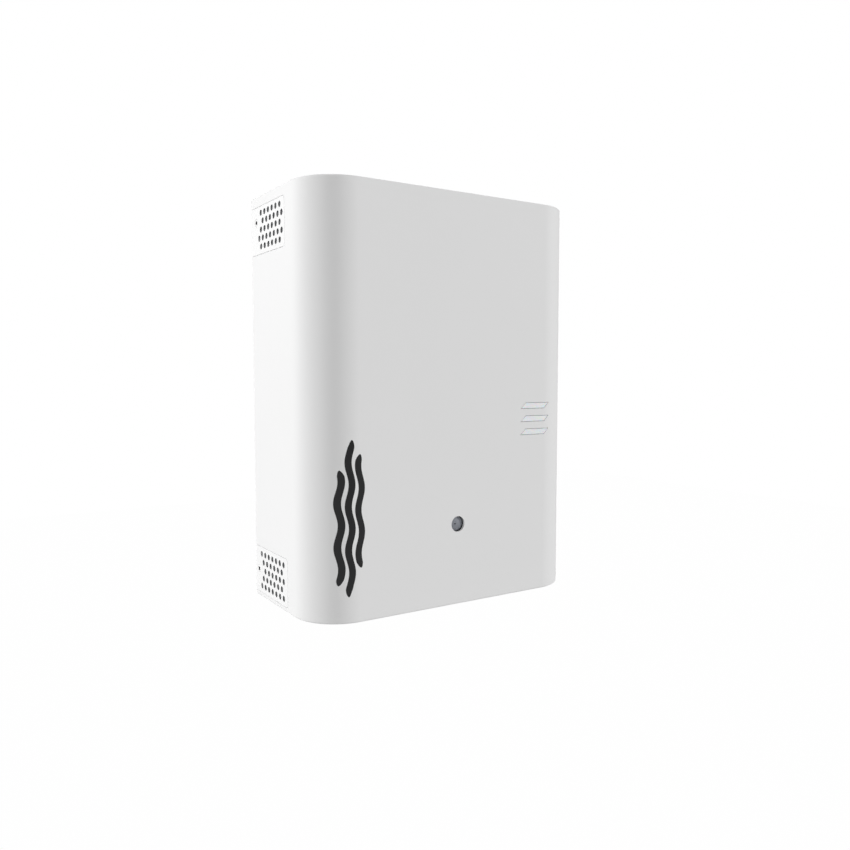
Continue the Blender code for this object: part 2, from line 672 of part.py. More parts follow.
# ---- Fluid can, valve and feed pipe ----
def make_can():
    neck_base = VALVE_TOP - NECK_IN + GAP
    shoulder = NECK_LONG
    body = shoulder + SHOULDER_TALL
    top = CAN_HIGH - neck_base
    profile = [(0, 0), (NECK_R, 0), (NECK_R, shoulder), (SHOULDER_R, shoulder), (CAN_R, body),
               (CAN_R, top - CAN_BASE_IN), (CAN_R - CAN_BASE_IN, top), (0, top - CAN_BASE_IN)]
    turned("fluid_can", profile, (CAN_X, MID_Y, neck_base), (0, 0, 1), 32, ALUMINIUM)

    shelf = neck_base + shoulder - GAP
    back = -SHEET - GAP
    plate_face = back - SHEET
    cradle = box("can_cradle", (CAN_X - CRADLE_HALF, CAN_X + CRADLE_HALF), (plate_face, back),
                 (shelf - SHEET, CAN_HIGH), ZINC_STEEL)
    join(cradle, box("can_shelf", (CAN_X - CRADLE_HALF, CAN_X + CRADLE_HALF),
                     (MID_Y - CRADLE_HALF, plate_face + SHEET / 2), (shelf - SHEET, shelf)))
    shape(cradle, rod("neck_way", NECK_R + GAP, -SHEET - THROUGH, THROUGH,
                      (CAN_X, MID_Y, shelf), (0, 0, 1), 20))
    ring = CAN_R + GAP + STRAP_T + GAP
    levels = (neck_base + body + SADDLE_IN, CAN_HIGH - SADDLE_IN)
    for name, z in zip(("lower", "upper"), levels):
        reach = MID_Y + math.sqrt(ring ** 2 - SADDLE_HALF ** 2) - STRAP_T
        join(cradle, box(f"saddle_{name}", (CAN_X - SADDLE_HALF, CAN_X + SADDLE_HALF),
                         (reach, plate_face + SHEET / 2), (z - SADDLE_TALL / 2, z + SADDLE_TALL / 2)))
    shape(cradle, rod("can_way", ring, shelf + THROUGH, HEIGHT, (CAN_X, MID_Y, 0), (0, 0, 1), 32))

    inner = CAN_R + GAP
    outer = inner + STRAP_T
    half = STRAP_TALL / 2
    strap = rod("can_strap", outer, -half, half, (CAN_X, MID_Y, levels[1]), (0, 0, 1), 32, STEEL)
    rows = (MID_Y - outer - STRAP_EAR[1], MID_Y - inner - STRAP_T / 2)
    join(strap, box("strap_ears", (CAN_X - STRAP_EAR[0], CAN_X + STRAP_EAR[0]), rows,
                    (levels[1] - half, levels[1] + half)))
    shape(strap, rod("strap_bore", inner, -STRAP_TALL, STRAP_TALL,
                     (CAN_X, MID_Y, levels[1]), (0, 0, 1), 32))
    shape(strap, box("strap_slit", (CAN_X - STRAP_SLIT, CAN_X + STRAP_SLIT),
                     (rows[0] - THROUGH, MID_Y - inner + THROUGH),
                     (levels[1] - STRAP_TALL, levels[1] + STRAP_TALL)))


def make_valve():
    half_x, half_y = VALVE_SIZE[0] / 2, VALVE_SIZE[1] / 2
    low = VALVE_TOP - VALVE_SIZE[2]
    middle = (VALVE_TOP + low) / 2
    front = MID_Y - half_y
    body = box("valve_body", (CAN_X - half_x, CAN_X + half_x), (front, MID_Y + half_y),
               (low, VALVE_TOP), BRASS)
    shape(body, rod("valve_socket", NECK_R + GAP, -NECK_IN, THROUGH,
                    (CAN_X, MID_Y, VALVE_TOP), (0, 0, 1), 20))
    shape(body, rod("valve_outlet", PIPE_R + GAP, -THROUGH, PIPE_IN + GAP,
                    (CAN_X, MID_Y, low), (0, 0, 1), 12))
    seat = (CAN_X, front, middle)
    outward = (0, -1, 0)
    shape(body, rod("valve_seat", PLUNGER_R + GAP, -PLUNGER_IN - GAP, THROUGH, seat, outward, 12))

    core_in = CORE_R - CORE_T
    long = COIL_SIZE[2] + CORE_T
    roof = long - 2 * CORE_T
    turned("valve_core_tube", [(0, roof), (core_in, roof), (core_in, GAP), (CORE_R, GAP),
                               (CORE_R, long), (0, long)], seat, outward, 16, STEEL)
    coil = box("valve_coil", (CAN_X - COIL_SIZE[0] / 2, CAN_X + COIL_SIZE[0] / 2),
               (front - COIL_SIZE[2], front - GAP),
               (middle - COIL_SIZE[1] / 2, middle + COIL_SIZE[1] / 2), BLACK_PLASTIC)
    shape(coil, rod("coil_bore", CORE_R + GAP, -THROUGH, 2 * COIL_SIZE[2], seat, outward, 16))

    tip = PLUNGER_LONG - PLUNGER_IN
    plunger = rod("valve_plunger", PLUNGER_R, -PLUNGER_IN, tip, seat, outward, 16, STEEL)
    spring_start = tip + GAP + SPRING_WIRE
    spring_end = roof - GAP - SPRING_WIRE
    steps = SPRING_TURNS * SPRING_STEPS
    helix = []
    for i in range(steps + 1):
        angle = math.tau * SPRING_TURNS * i / steps
        along = spring_start + (spring_end - spring_start) * i / steps
        helix.append(Vector((CAN_X + SPRING_R * math.cos(angle), front - along,
                             middle + SPRING_R * math.sin(angle))))
    tube("valve_spring", helix, SPRING_WIRE, STEEL)
    ride_on(empty("valve_lift", seat, UNIT), [plunger])

    straight = -BLOCK_HALF[0] + PIPE_IN
    bend = arc(CAN_X + PIPE_BEND, NOZZLE_Z + PIPE_BEND, PIPE_BEND, 180, 270, 6)
    route = [(CAN_X, low + PIPE_IN)] + bend + [(straight, NOZZLE_Z)]
    tube("feed_pipe", [Vector((x, MID_Y, z)) for x, z in route], PIPE_R, STEEL)


# ---- Transformer, battery and mains terminals ----
def make_clamp(name, middle, half, front, rows):
    """A bent strip over a block on the wall plate, with a foot on each side."""
    back = -SHEET - GAP
    inner = half + GAP
    outer = inner + CLAMP_T
    foot = outer + CLAMP_FOOT
    face = front - GAP
    left = [(-inner, back), (-inner, face), (inner, face), (inner, back)]
    right = [(foot, back), (foot, back - CLAMP_T), (outer, back - CLAMP_T), (outer, face - CLAMP_T)]
    outline = left + right + [(-u, v) for u, v in reversed(right)]
    return prism(name, [(middle + u, v) for u, v in outline], "Z", *rows, ZINC_STEEL)


def make_transformer():
    back = -SHEET - GAP - COIL_PROUD - GAP
    front = back - CORE_STACK
    leg = CORE_LEG
    window_z = CORE_HALF_Z - leg
    side = CORE_HALF_X - leg
    core = box("transformer_core", (CORE_X - CORE_HALF_X, CORE_X + CORE_HALF_X), (front, back),
               (CORE_Z - CORE_HALF_Z, CORE_Z + CORE_HALF_Z), DARK_STEEL)
    for name, sign in mirrored():
        edges = sorted((CORE_X + sign * leg, CORE_X + sign * side))
        shape(core, box(f"core_window_{name}", edges, (front - THROUGH, back + THROUGH),
                        (CORE_Z - window_z, CORE_Z + window_z)))
    coil = box("transformer_winding", (CORE_X - side + GAP, CORE_X + side - GAP),
               (front - COIL_PROUD, back + COIL_PROUD),
               (CORE_Z - window_z + GAP, CORE_Z + window_z - GAP), COPPER_TAPE)
    shape(coil, box("winding_hole", (CORE_X - leg - GAP, CORE_X + leg + GAP),
                    (front - GAP, back + GAP), (CORE_Z - CORE_HALF_Z, CORE_Z + CORE_HALF_Z)))
    clamp = make_clamp("transformer_clamp", CORE_X, CORE_HALF_X, front,
                       (CORE_Z - CORE_CLAMP_HALF, CORE_Z + CORE_CLAMP_HALF))
    shape(clamp, box("clamp_window", (CORE_X - side, CORE_X + side),
                     (front - CLAMP_T - THROUGH, front + THROUGH / 2),
                     (CORE_Z - window_z, CORE_Z + window_z)))


def make_battery():
    middle = (TRAY_LEFT + TRAY_RIGHT) / 2
    half = BATTERY_SIZE[0] / 2
    back = -SHEET - GAP
    front = back - BATTERY_SIZE[1]
    battery = box("standby_battery", (middle - half, middle + half), (front, back),
                  (BATTERY_LOW, BATTERY_HIGH), GREY_PLASTIC)
    depth = (front + back) / 2
    for name, sign in mirrored():
        x = middle + sign * half / 2
        join(battery, box(f"battery_post_{name}", (x - BATTERY_POST, x + BATTERY_POST),
                          (depth - SHEET, depth + SHEET),
                          (BATTERY_HIGH - SHEET, BATTERY_HIGH + BATTERY_POST)))
    centre = (BATTERY_LOW + BATTERY_HIGH) / 2
    make_clamp("battery_bracket", middle, half, front,
               (centre - BATTERY_CLAMP_HALF, centre + BATTERY_CLAMP_HALF))


def entry_outline(sign, grow=0.0):
    x = sign * (CHASSIS_IN - ENTRY_IN)
    half_x = ENTRY_HALF[0] + grow
    half_z = ENTRY_HALF[1] + grow
    return rounded(x - half_x, x + half_x, ENTRY_Z - half_z, ENTRY_Z + half_z, ENTRY_R + grow)


def make_entries():
    lip = -SHEET - GAP
    for side, sign in mirrored():
        name = f"cable_grommet_{side}"
        grommet = prism(name, entry_outline(sign, GROMMET_LIP), "Y", lip - GROMMET_FRONT, lip, RUBBER)
        join(grommet, prism(f"{name}_core", entry_outline(sign, -GAP), "Y",
                            lip - GROMMET_FRONT / 2, -GAP))
        x = sign * (CHASSIS_IN - ENTRY_IN)
        hole = circle(x, ENTRY_Z, GROMMET_HOLE_R, 16)
        shape(grommet, prism(f"{name}_hole", hole, "Y", lip - GROMMET_FRONT - THROUGH, THROUGH))
    x = ENTRY_IN - CHASSIS_IN
    front = lip - MAINS_DEEP
    block = box("mains_terminals", (x - MAINS_HALF[0], x + MAINS_HALF[0]), (front, lip),
                (MAINS_Z - MAINS_HALF[1], MAINS_Z + MAINS_HALF[1]), GREY_PLASTIC)
    cut_ways(block, x, MAINS_WAYS, 2 * MAINS_HALF[0] / MAINS_WAYS, front, MAINS_Z)


def cut_ways(block, middle, count, pitch, front, z):
    """Screw wells in the face of a terminal block."""
    first = middle - pitch * (count - 1) / 2
    wells = [circle(first + i * pitch, z, WAY_HALF, 10) for i in range(count)]
    shape(block, prism(f"{block.name}_wells", wells, "Y", front - THROUGH, front + THROUGH))


# ---- Control board on its tray ----
def bar_middle(base):
    return (BAR_RIGHT - (BAR_LEAN + BAR_LONG) / 2, base + BAR_TALL / 2)


def free_row(share):
    """A height on the board between the indicator bars and the upper terminals."""
    low = BAR_BASES["top"] + 2 * BAR_TALL
    high = BOARD_HIGH - TERMINAL_TALL
    return low + (high - low) * share


def on_board(name, x, z, half_x, half_z, tall, mat):
    face = BOARD_FRONT - GAP
    return box(name, (x - half_x, x + half_x), (face - tall, face), (z - half_z, z + half_z), mat)


def make_tray():
    back = -SHEET - GAP
    inner = (TRAY_LEFT + SHEET, TRAY_RIGHT - SHEET)
    outline = [(TRAY_LEFT, back), (TRAY_LEFT, TRAY_FACE), (TRAY_RIGHT, TRAY_FACE),
               (TRAY_RIGHT, back), (inner[1], back), (inner[1], TRAY_FACE + SHEET),
               (inner[0], TRAY_FACE + SHEET), (inner[0], back)]
    tray = prism("board_tray", outline, "Z", TRAY_LOW, TRAY_HIGH, ZINC_STEEL)
    for i, (x, z) in enumerate(board_holes()):
        join(tray, rod(f"standoff_{i}", STANDOFF_R, -SHEET / 2, STANDOFF_LONG - GAP,
                       (x, TRAY_FACE, z), (0, -1, 0), 12))
    front = -DEPTH + SKIN + TAMPER_OUT
    half = TAMPER_SIZE[0] / 2
    shelf = TRAY_HIGH - TAMPER_SIZE[2] - SHEET
    join(tray, box("switch_shelf", (TAMPER_X - half, TAMPER_X + half),
                   (front, TRAY_FACE + SHEET / 2), (shelf - SHEET, shelf)))
    shape(tray, prism("tray_hole", circle(*TRAY_HOLE, TRAY_HOLE_R, 12), "Y",
                      TRAY_FACE - THROUGH, TRAY_FACE + THROUGH))


def board_holes():
    return [(x, z) for x in (BOARD_LEFT + BOARD_HOLE_IN, BOARD_RIGHT - BOARD_HOLE_IN)
            for z in (BOARD_LOW + BOARD_HOLE_IN, free_row(1) - BOARD_HOLE_IN)]


def make_board():
    board = box("control_board", (BOARD_LEFT, BOARD_RIGHT), (BOARD_FRONT, BOARD_BACK),
                (BOARD_LOW, BOARD_HIGH), GREEN_BOARD)
    holes = [circle(x, z, BOARD_HOLE_R, 10) for x, z in board_holes()]
    shape(board, prism("board_holes", holes, "Y", BOARD_FRONT - THROUGH, BOARD_BACK + THROUGH))
    chip_x = bar_middle(0)[0] + CHIP_HALF
    spots = [(*bar_middle(base), LED_HALF, LED_TALL) for base in BAR_BASES.values()]
    spots.append((chip_x, free_row(0.5), CHIP_HALF, CHIP_TALL))
    for i, (x, z, half, tall) in enumerate(spots):
        join(board, box(f"board_chip_{i}", (x - half, x + half),
                        (BOARD_FRONT - tall, BOARD_FRONT + BOARD_T / 2), (z - half, z + half)))


def make_terminals(name, x, z, ways):
    block = on_board(name, x, z, ways * WAY_PITCH / 2, TERMINAL_DEEP / 2, TERMINAL_TALL,
                     GREEN_PLASTIC)
    cut_ways(block, x, ways, WAY_PITCH, BOARD_FRONT - GAP - TERMINAL_TALL, z)
    return block


def power_terminals_place():
    return (BOARD_LEFT + 1.5 * BOARD_HOLE_IN + POWER_WAYS * WAY_PITCH / 2,
            BOARD_LOW + TERMINAL_DEEP / 2 + SHEET)


def signal_terminals_place():
    return ((BOARD_LEFT + BOARD_RIGHT) / 2, BOARD_HIGH - TERMINAL_DEEP / 2 - SHEET)


def make_board_parts():
    make_terminals("power_terminals", *power_terminals_place(), POWER_WAYS)
    make_terminals("signal_terminals", *signal_terminals_place(), SIGNAL_WAYS)
    column = BOARD_LEFT + BOARD_HOLE_IN + RELAY_HALF[0]
    on_board("relay", column, free_row(0.2), *RELAY_HALF, RELAY_TALL, BLUE_PLASTIC)
    face = BOARD_FRONT - GAP
    outward = (0, -1, 0)
    rod("capacitor", CAPACITOR_R, 0, CAPACITOR_TALL,
        (column + RELAY_HALF[0] + 2 * CAPACITOR_R, face, free_row(0.2)), outward, 20, BLACK_PLASTIC)
    place = (column, face, free_row(0.7))
    buzzer = rod("buzzer", BUZZER_R, 0, BUZZER_TALL, place, outward, 20, BLACK_PLASTIC)
    shape(buzzer, rod("buzzer_hole", BUZZER_HOLE_R, BUZZER_TALL / 2, BUZZER_TALL + THROUGH,
                      place, outward, 10))


def make_controls():
    face = BOARD_FRONT - GAP
    outward = (0, -1, 0)
    x = BOARD_RIGHT - 2 * BOARD_HOLE_IN - GAP
    place = (x, face, free_row(0.2))
    seat = BUTTON_TALL - BUTTON_IN
    switch = on_board("test_switch", x, place[2], BUTTON_HALF, BUTTON_HALF, BUTTON_TALL, BLACK_PLASTIC)
    shape(switch, rod("test_switch_well", BUTTON_R + GAP, seat - BUTTON_TRAVEL - GAP,
                      BUTTON_TALL + THROUGH, place, outward, 16))
    button = rod("test_button", BUTTON_R, seat, BUTTON_TALL + BUTTON_OUT, place, outward, 16,
                 RED_PLASTIC)
    ride_on(empty("test_press", (x, face - BUTTON_TALL, place[2]), UNIT), [button])

    place = (x, face, free_row(0.6))
    seat = TRIMMER_TALL - ROTOR_IN
    body = on_board("timer_trimmer", x, place[2], TRIMMER_HALF, TRIMMER_HALF, TRIMMER_TALL,
                    BLUE_PLASTIC)
    shape(body, rod("trimmer_well", ROTOR_R + GAP, seat - GAP, TRIMMER_TALL + THROUGH,
                    place, outward, 16))
    rotor = rod("timer_rotor", ROTOR_R, seat, TRIMMER_TALL + ROTOR_OUT, place, outward, 16, BRASS)
    top = face - TRIMMER_TALL - ROTOR_OUT
    half, deep = ROTOR_SLOT
    shape(rotor, box("rotor_slot", (x - half, x + half), (top - THROUGH, top + deep),
                     (place[2] - 2 * ROTOR_R, place[2] + 2 * ROTOR_R)))
    ride_on(empty("timer_turn", (x, top, place[2]), UNIT), [rotor])

    front = -DEPTH + SKIN + TAMPER_OUT
    low = TRAY_HIGH - TAMPER_SIZE[2] - SHEET + GAP
    middle = low + TAMPER_SIZE[2] / 2
    half = TAMPER_SIZE[0] / 2
    switch = box("tamper_switch", (TAMPER_X - half, TAMPER_X + half),
                 (front, front + TAMPER_SIZE[1]), (low, low + TAMPER_SIZE[2]), BLACK_PLASTIC)
    mouth = (TAMPER_X, front, middle)
    shape(switch, rod("tamper_well", TAMPER_R + GAP, -TAMPER_IN - TAMPER_TRAVEL - GAP, THROUGH,
                      mouth, outward, 12))
    plunger = rod("tamper_plunger", TAMPER_R, -TAMPER_IN, TAMPER_OUT - GAP, mouth, outward, 12,
                  WHITE_PLASTIC)
    ride_on(empty("tamper_press", mouth, UNIT), [plunger])


# ---- Leads inside the unit ----
def make_lead(name, points):
    tube(name, smooth_route([Vector(point) for point in points], LEAD_STEP), LEAD_R, LEAD_RED)


def make_leads():
    start = BLOCK_HALF[0] + CARTRIDGE_SHORT + GAP
    wall = HOUSING_HALF_X
    power_x, power_z = power_terminals_place()
    power_low = power_z - TERMINAL_DEEP / 2 - GAP
    under = TRAY_LOW - 0.0068
    ways = [power_x + (i - (POWER_WAYS - 1) / 2) * WAY_PITCH for i in range(POWER_WAYS)]
    upper, lower = (z for _, z in cartridge_spots())
    make_lead("heater_lead_upper", [
        (start, MID_Y, upper), (wall, MID_Y, upper), (wall + 0.010, MID_Y, upper + 0.003),
        (wall + 0.016, MID_Y - 0.004, 0.104), (wall + 0.007, -0.078, under),
        (ways[3] + 0.002, LEAD_Y + 0.007, under), (ways[2] + 0.002, LEAD_Y + 0.001, under + 0.003),
        (ways[2], LEAD_Y, power_low)])
    make_lead("heater_lead_lower", [
        (start, MID_Y, lower), (wall, MID_Y, lower), (wall + 0.012, MID_Y, lower + 0.004),
        (wall + 0.024, MID_Y, 0.085), (wall + 0.023, MID_Y - 0.008, 0.108),
        (wall + 0.012, -0.091, under), (ways[3] + 0.008, LEAD_Y - 0.004, under),
        (ways[3] + 0.001, LEAD_Y - 0.001, under + 0.003), (ways[3], LEAD_Y, power_low)])
    coil_side = CAN_X + COIL_SIZE[0] / 2 + GAP
    make_lead("valve_lead", [
        (coil_side, -0.088, 0.141), (coil_side + 0.008, -0.089, 0.139),
        (coil_side + 0.030, -0.093, 0.129), (CORE_X, -0.095, under),
        (ways[0] - 0.010, LEAD_Y - 0.001, under), (ways[0] - 0.001, LEAD_Y, under + 0.004),
        (ways[0], LEAD_Y, power_low)])
    signal_high = signal_terminals_place()[1] + TERMINAL_DEEP / 2 + GAP
    battery_top = BATTERY_HIGH + BATTERY_POST + GAP
    post = (TRAY_LEFT + TRAY_RIGHT) / 2 - BATTERY_SIZE[0] / 4
    depth = -SHEET - GAP - BATTERY_SIZE[1] / 2
    hole_x, hole_z = TRAY_HOLE
    make_lead("battery_lead", [
        (post, depth, battery_top + LEAD_R), (post - 0.001, depth - 0.002, battery_top + 0.012),
        (hole_x, -0.045, hole_z - 0.010), (hole_x, -0.066, hole_z - 0.001),
        (hole_x, TRAY_FACE, hole_z), (hole_x, LEAD_Y + 0.003, hole_z - 0.002),
        (hole_x, LEAD_Y, signal_high)])
    mains_top = MAINS_Z + MAINS_HALF[1] + GAP
    coil_low = CORE_Z - CORE_HALF_Z + CORE_LEG
    coil_y = -SHEET - 2 * GAP - 1.5 * COIL_PROUD - CORE_STACK
    mains_x = ENTRY_IN - CHASSIS_IN + MAINS_HALF[0] / 2
    foot = TRAY_LOW
    climb = coil_low - 0.045 - foot
    make_lead("mains_lead", [
        (mains_x, -0.012, mains_top), (mains_x, -0.012, mains_top + 0.012),
        (ROOM_LEFT - 0.026, -0.010, foot), (ROOM_LEFT - 0.004, -0.010, foot + 0.3 * climb),
        (ROOM_LEFT + 0.003, -0.012, foot + 0.6 * climb), (ROOM_LEFT + 0.008, -0.016, foot + climb),
        (CORE_X - 0.018, -0.032, coil_low - 0.018), (CORE_X - 0.002, coil_y, coil_low - 0.008),
        (CORE_X, coil_y, coil_low)])


def make_unit():
    make_cover_group()
    make_chassis()
    make_side_plates()
    make_heater()
    make_nozzle()
    make_can()
    make_valve()
    make_transformer()
    make_battery()
    make_entries()
    make_tray()
    make_board()
    make_board_parts()
    make_controls()
    make_leads()


clear_scene()
UNIT = empty("fog_unit", (0, 0, -HEIGHT / 2))
WHITE_STEEL = material("white_steel", (0.86, 0.86, 0.85), 0.45)
ZINC_STEEL = material("zinc_steel", (0.55, 0.56, 0.57), 0.40, 1.0)
DARK_STEEL = material("dark_steel", (0.12, 0.12, 0.13), 0.50, 1.0)
STEEL = material("steel", (0.50, 0.52, 0.55), 0.30, 1.0)
ALUMINIUM = material("aluminium", (0.75, 0.75, 0.76), 0.35, 1.0)
BRASS = material("brass", (0.70, 0.52, 0.25), 0.35, 1.0)
COPPER_TAPE = material("winding_tape", (0.75, 0.55, 0.15), 0.50)
WOOL = material("mineral_wool", (0.62, 0.58, 0.48), 0.95)
BLACK_PLASTIC = material("black_plastic", (0.03, 0.03, 0.03), 0.45)
GREY_PLASTIC = material("grey_plastic", (0.25, 0.26, 0.28), 0.50)
WHITE_PLASTIC = material("white_plastic", (0.80, 0.80, 0.78), 0.40)
GREEN_PLASTIC = material("green_plastic", (0.05, 0.35, 0.12), 0.45)
BLUE_PLASTIC = material("blue_plastic", (0.05, 0.15, 0.45), 0.45)
RED_PLASTIC = material("red_plastic", (0.60, 0.04, 0.03), 0.40)
CLEAR_PLASTIC = material("clear_plastic", (0.85, 0.86, 0.86), 0.25)
GREEN_BOARD = material("green_board", (0.03, 0.22, 0.10), 0.50)
RUBBER = material("rubber", (0.03, 0.03, 0.03), 0.80)
LEAD_RED = material("lead_sleeve", (0.45, 0.05, 0.04), 0.55)
make_unit()
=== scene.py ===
import math
import random

import bmesh
import bpy
from mathutils import Matrix, Vector


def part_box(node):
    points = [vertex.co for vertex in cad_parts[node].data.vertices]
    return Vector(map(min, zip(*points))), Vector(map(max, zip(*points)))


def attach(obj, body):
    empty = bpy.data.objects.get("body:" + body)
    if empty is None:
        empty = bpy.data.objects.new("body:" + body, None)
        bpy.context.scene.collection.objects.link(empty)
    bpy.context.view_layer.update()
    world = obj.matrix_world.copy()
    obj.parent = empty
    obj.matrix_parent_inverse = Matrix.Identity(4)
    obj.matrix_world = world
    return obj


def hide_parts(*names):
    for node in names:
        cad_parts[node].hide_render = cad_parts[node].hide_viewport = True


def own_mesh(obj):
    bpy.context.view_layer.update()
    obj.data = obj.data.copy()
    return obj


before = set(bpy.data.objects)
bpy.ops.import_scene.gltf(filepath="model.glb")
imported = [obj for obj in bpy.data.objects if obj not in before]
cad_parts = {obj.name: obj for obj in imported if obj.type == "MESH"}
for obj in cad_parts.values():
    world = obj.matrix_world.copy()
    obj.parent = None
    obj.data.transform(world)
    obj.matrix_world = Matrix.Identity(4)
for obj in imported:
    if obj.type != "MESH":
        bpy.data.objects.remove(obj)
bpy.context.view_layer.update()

SCENE = bpy.context.scene

# ---- Sizes shared by several pieces ----
LOW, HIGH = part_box("cover")
WIDTH = HIGH.x - LOW.x
BOTTOM = LOW.z
FRONT = LOW.y
CORNER_R = 0.038
EDGE_R = 0.0015
SKIN = 0.002
FORWARD = (0, -1, 0)
GAP = 0.0003
BAR_TANGENT = WIDTH / 2 - CORNER_R


# ---- Materials ----
def finish(name, colour, rough, metal=0.0, tone=0.03, blotch=45, grain=900, stretch=(1, 1, 1),
           relief=0.00001, vary=0.04, **sockets):
    """A surface with broad tone changes, and a fine grain in its roughness and its relief."""
    mat = bpy.data.materials.new(name)
    mat.use_nodes = True
    nodes = mat.node_tree.nodes
    links = mat.node_tree.links
    shader = nodes["Principled BSDF"]
    shader.inputs["Metallic"].default_value = metal
    for socket, value in sockets.items():
        shader.inputs[socket.replace("_", " ")].default_value = value
    place = nodes.new("ShaderNodeTexCoord")
    squeeze = nodes.new("ShaderNodeMapping")
    squeeze.inputs["Scale"].default_value = stretch
    links.new(place.outputs["Object"], squeeze.inputs["Vector"])
    broad = nodes.new("ShaderNodeTexNoise")
    broad.inputs["Scale"].default_value = blotch
    broad.inputs["Detail"].default_value = 4
    links.new(squeeze.outputs["Vector"], broad.inputs["Vector"])
    fine = nodes.new("ShaderNodeTexNoise")
    fine.inputs["Scale"].default_value = grain
    fine.inputs["Detail"].default_value = 3
    links.new(squeeze.outputs["Vector"], fine.inputs["Vector"])
    tint = nodes.new("ShaderNodeMix")
    tint.data_type = "RGBA"
    tint.inputs["A"].default_value = (*[c * (1 - tone) for c in colour], 1)
    tint.inputs["B"].default_value = (*[min(1, c * (1 + tone)) for c in colour], 1)
    links.new(broad.outputs["Fac"], tint.inputs["Factor"])
    links.new(tint.outputs["Result"], shader.inputs["Base Color"])
    gloss = nodes.new("ShaderNodeMapRange")
    gloss.inputs["From Min"].default_value = 0.3
    gloss.inputs["From Max"].default_value = 0.7
    gloss.inputs["To Min"].default_value = max(0.03, rough - vary)
    gloss.inputs["To Max"].default_value = min(1, rough + vary)
    links.new(fine.outputs["Fac"], gloss.inputs["Value"])
    links.new(gloss.outputs["Result"], shader.inputs["Roughness"])
    bump = nodes.new("ShaderNodeBump")
    bump.inputs["Strength"].default_value = 0.6
    bump.inputs["Distance"].default_value = relief
    links.new(fine.outputs["Fac"], bump.inputs["Height"])
    links.new(bump.outputs["Normal"], shader.inputs["Normal"])
    return mat


POWDER = finish("white_powder_coat", (0.815, 0.815, 0.815), 0.62, tone=0.008, blotch=18, grain=1400,
                relief=0.00003, vary=0.05, Specular_IOR_Level=0.18)
ZINC = finish("zinc_plate", (0.62, 0.64, 0.66), 0.36, metal=1.0, tone=0.09, blotch=70, grain=500,
              stretch=(1, 1, 0.35), relief=0.000006, vary=0.06)
PLATE_POWDER = finish("plate_powder_coat", (0.84, 0.84, 0.84), 0.62, tone=0.008, blotch=18,
                      grain=1400, relief=0.00003, vary=0.05, Specular_IOR_Level=0.18)
NOZZLE_STEEL = finish("blasted_steel", (0.27, 0.285, 0.315), 0.55, metal=0.5, tone=0.06,
                      blotch=300, grain=2500, relief=0.00001)
# Near-black painted shade for the inside of the screw sockets.
SOCKET_SHADE = finish("socket_painted_shade", (0.05, 0.05, 0.055), 0.45, metal=0.6, tone=0.15, blotch=600,
                    grain=3000, relief=0.00001)
POLISHED = finish("polished_steel", (0.50, 0.53, 0.58), 0.20, metal=1.0, tone=0.05, blotch=300,
                  grain=2500, relief=0.000004)
SCREW = finish("nickel_screw", (0.60, 0.60, 0.59), 0.30, metal=1.0, tone=0.08, blotch=600,
               grain=3000, relief=0.000005)
STRAP = finish("stainless_strap", (0.56, 0.57, 0.58), 0.26, metal=1.0, tone=0.05, grain=1600,
               stretch=(0.1, 0.1, 1), relief=0.000006)
PIPE = finish("drawn_steel", (0.52, 0.53, 0.55), 0.28, metal=1.0, tone=0.07, blotch=120,
              grain=1500, relief=0.000006)
CAN = finish("spun_aluminium", (0.78, 0.79, 0.80), 0.33, metal=1.0, tone=0.05, blotch=25,
             grain=700, stretch=(0.15, 0.15, 6), relief=0.00001, vary=0.08)
CAST = finish("machined_aluminium", (0.70, 0.71, 0.72), 0.42, metal=1.0, tone=0.06, grain=900,
              stretch=(0.1, 1, 3), relief=0.00001)
BRASS = finish("turned_brass", (0.72, 0.54, 0.24), 0.30, metal=1.0, tone=0.08, blotch=90,
               grain=1200, relief=0.000008)
IRON = finish("core_iron", (0.20, 0.20, 0.22), 0.50, metal=0.9, tone=0.25, blotch=220,
              grain=1500, stretch=(0.3, 1, 0.3), relief=0.00002, vary=0.1)
TAPE = finish("winding_tape", (0.80, 0.52, 0.07), 0.34, tone=0.10, blotch=150, grain=1100,
              stretch=(0.4, 0.4, 1.6), relief=0.00002, Coat_Weight=0.4, Coat_Roughness=0.2)
WOOL = finish("mineral_wool", (0.60, 0.53, 0.36), 0.95, tone=0.35, blotch=420, grain=1300,
              stretch=(0.4, 1, 1.3), relief=0.0006, Sheen_Weight=0.3)
# Felt seen through the vent holes: a dust felt pad whose dark colour is painted shade for the
# shaded inside of the unit.
FELT_PAINTED_SHADE = finish("dust_felt_painted_shade", (0.13, 0.135, 0.14), 0.95, tone=0.25, blotch=700, grain=2600,
              relief=0.0001, Sheen_Weight=0.2)
BLACK = finish("black_plastic", (0.022, 0.022, 0.024), 0.42, tone=0.15, grain=1600,
               relief=0.00002)
GREY = finish("grey_plastic", (0.17, 0.18, 0.20), 0.46, tone=0.05, grain=1500, relief=0.00003)
IVORY = finish("white_plastic", (0.78, 0.78, 0.75), 0.36, tone=0.02, grain=1500, relief=0.00001)
GREEN = finish("green_plastic", (0.03, 0.30, 0.09), 0.36, tone=0.05, grain=1200, relief=0.00001)
BLUE = finish("blue_plastic", (0.03, 0.11, 0.40), 0.34, tone=0.05, grain=1200, relief=0.00001)
RED = finish("red_plastic", (0.55, 0.03, 0.02), 0.32, tone=0.05, grain=1200, relief=0.00001)
RUBBER = finish("black_rubber", (0.02, 0.02, 0.02), 0.75, tone=0.2, grain=700, relief=0.00004)
SLEEVE = finish("silicone_sleeve", (0.50, 0.05, 0.03), 0.48, tone=0.06, blotch=200, grain=1500,
                relief=0.00001, Sheen_Weight=0.2)
DARK_SLEEVE = finish("black_sleeve", (0.03, 0.03, 0.035), 0.45, tone=0.1, grain=1500)
LEAD_TAN = finish("ceramic_tan", (0.42, 0.30, 0.17), 0.4, tone=0.08, grain=1500)
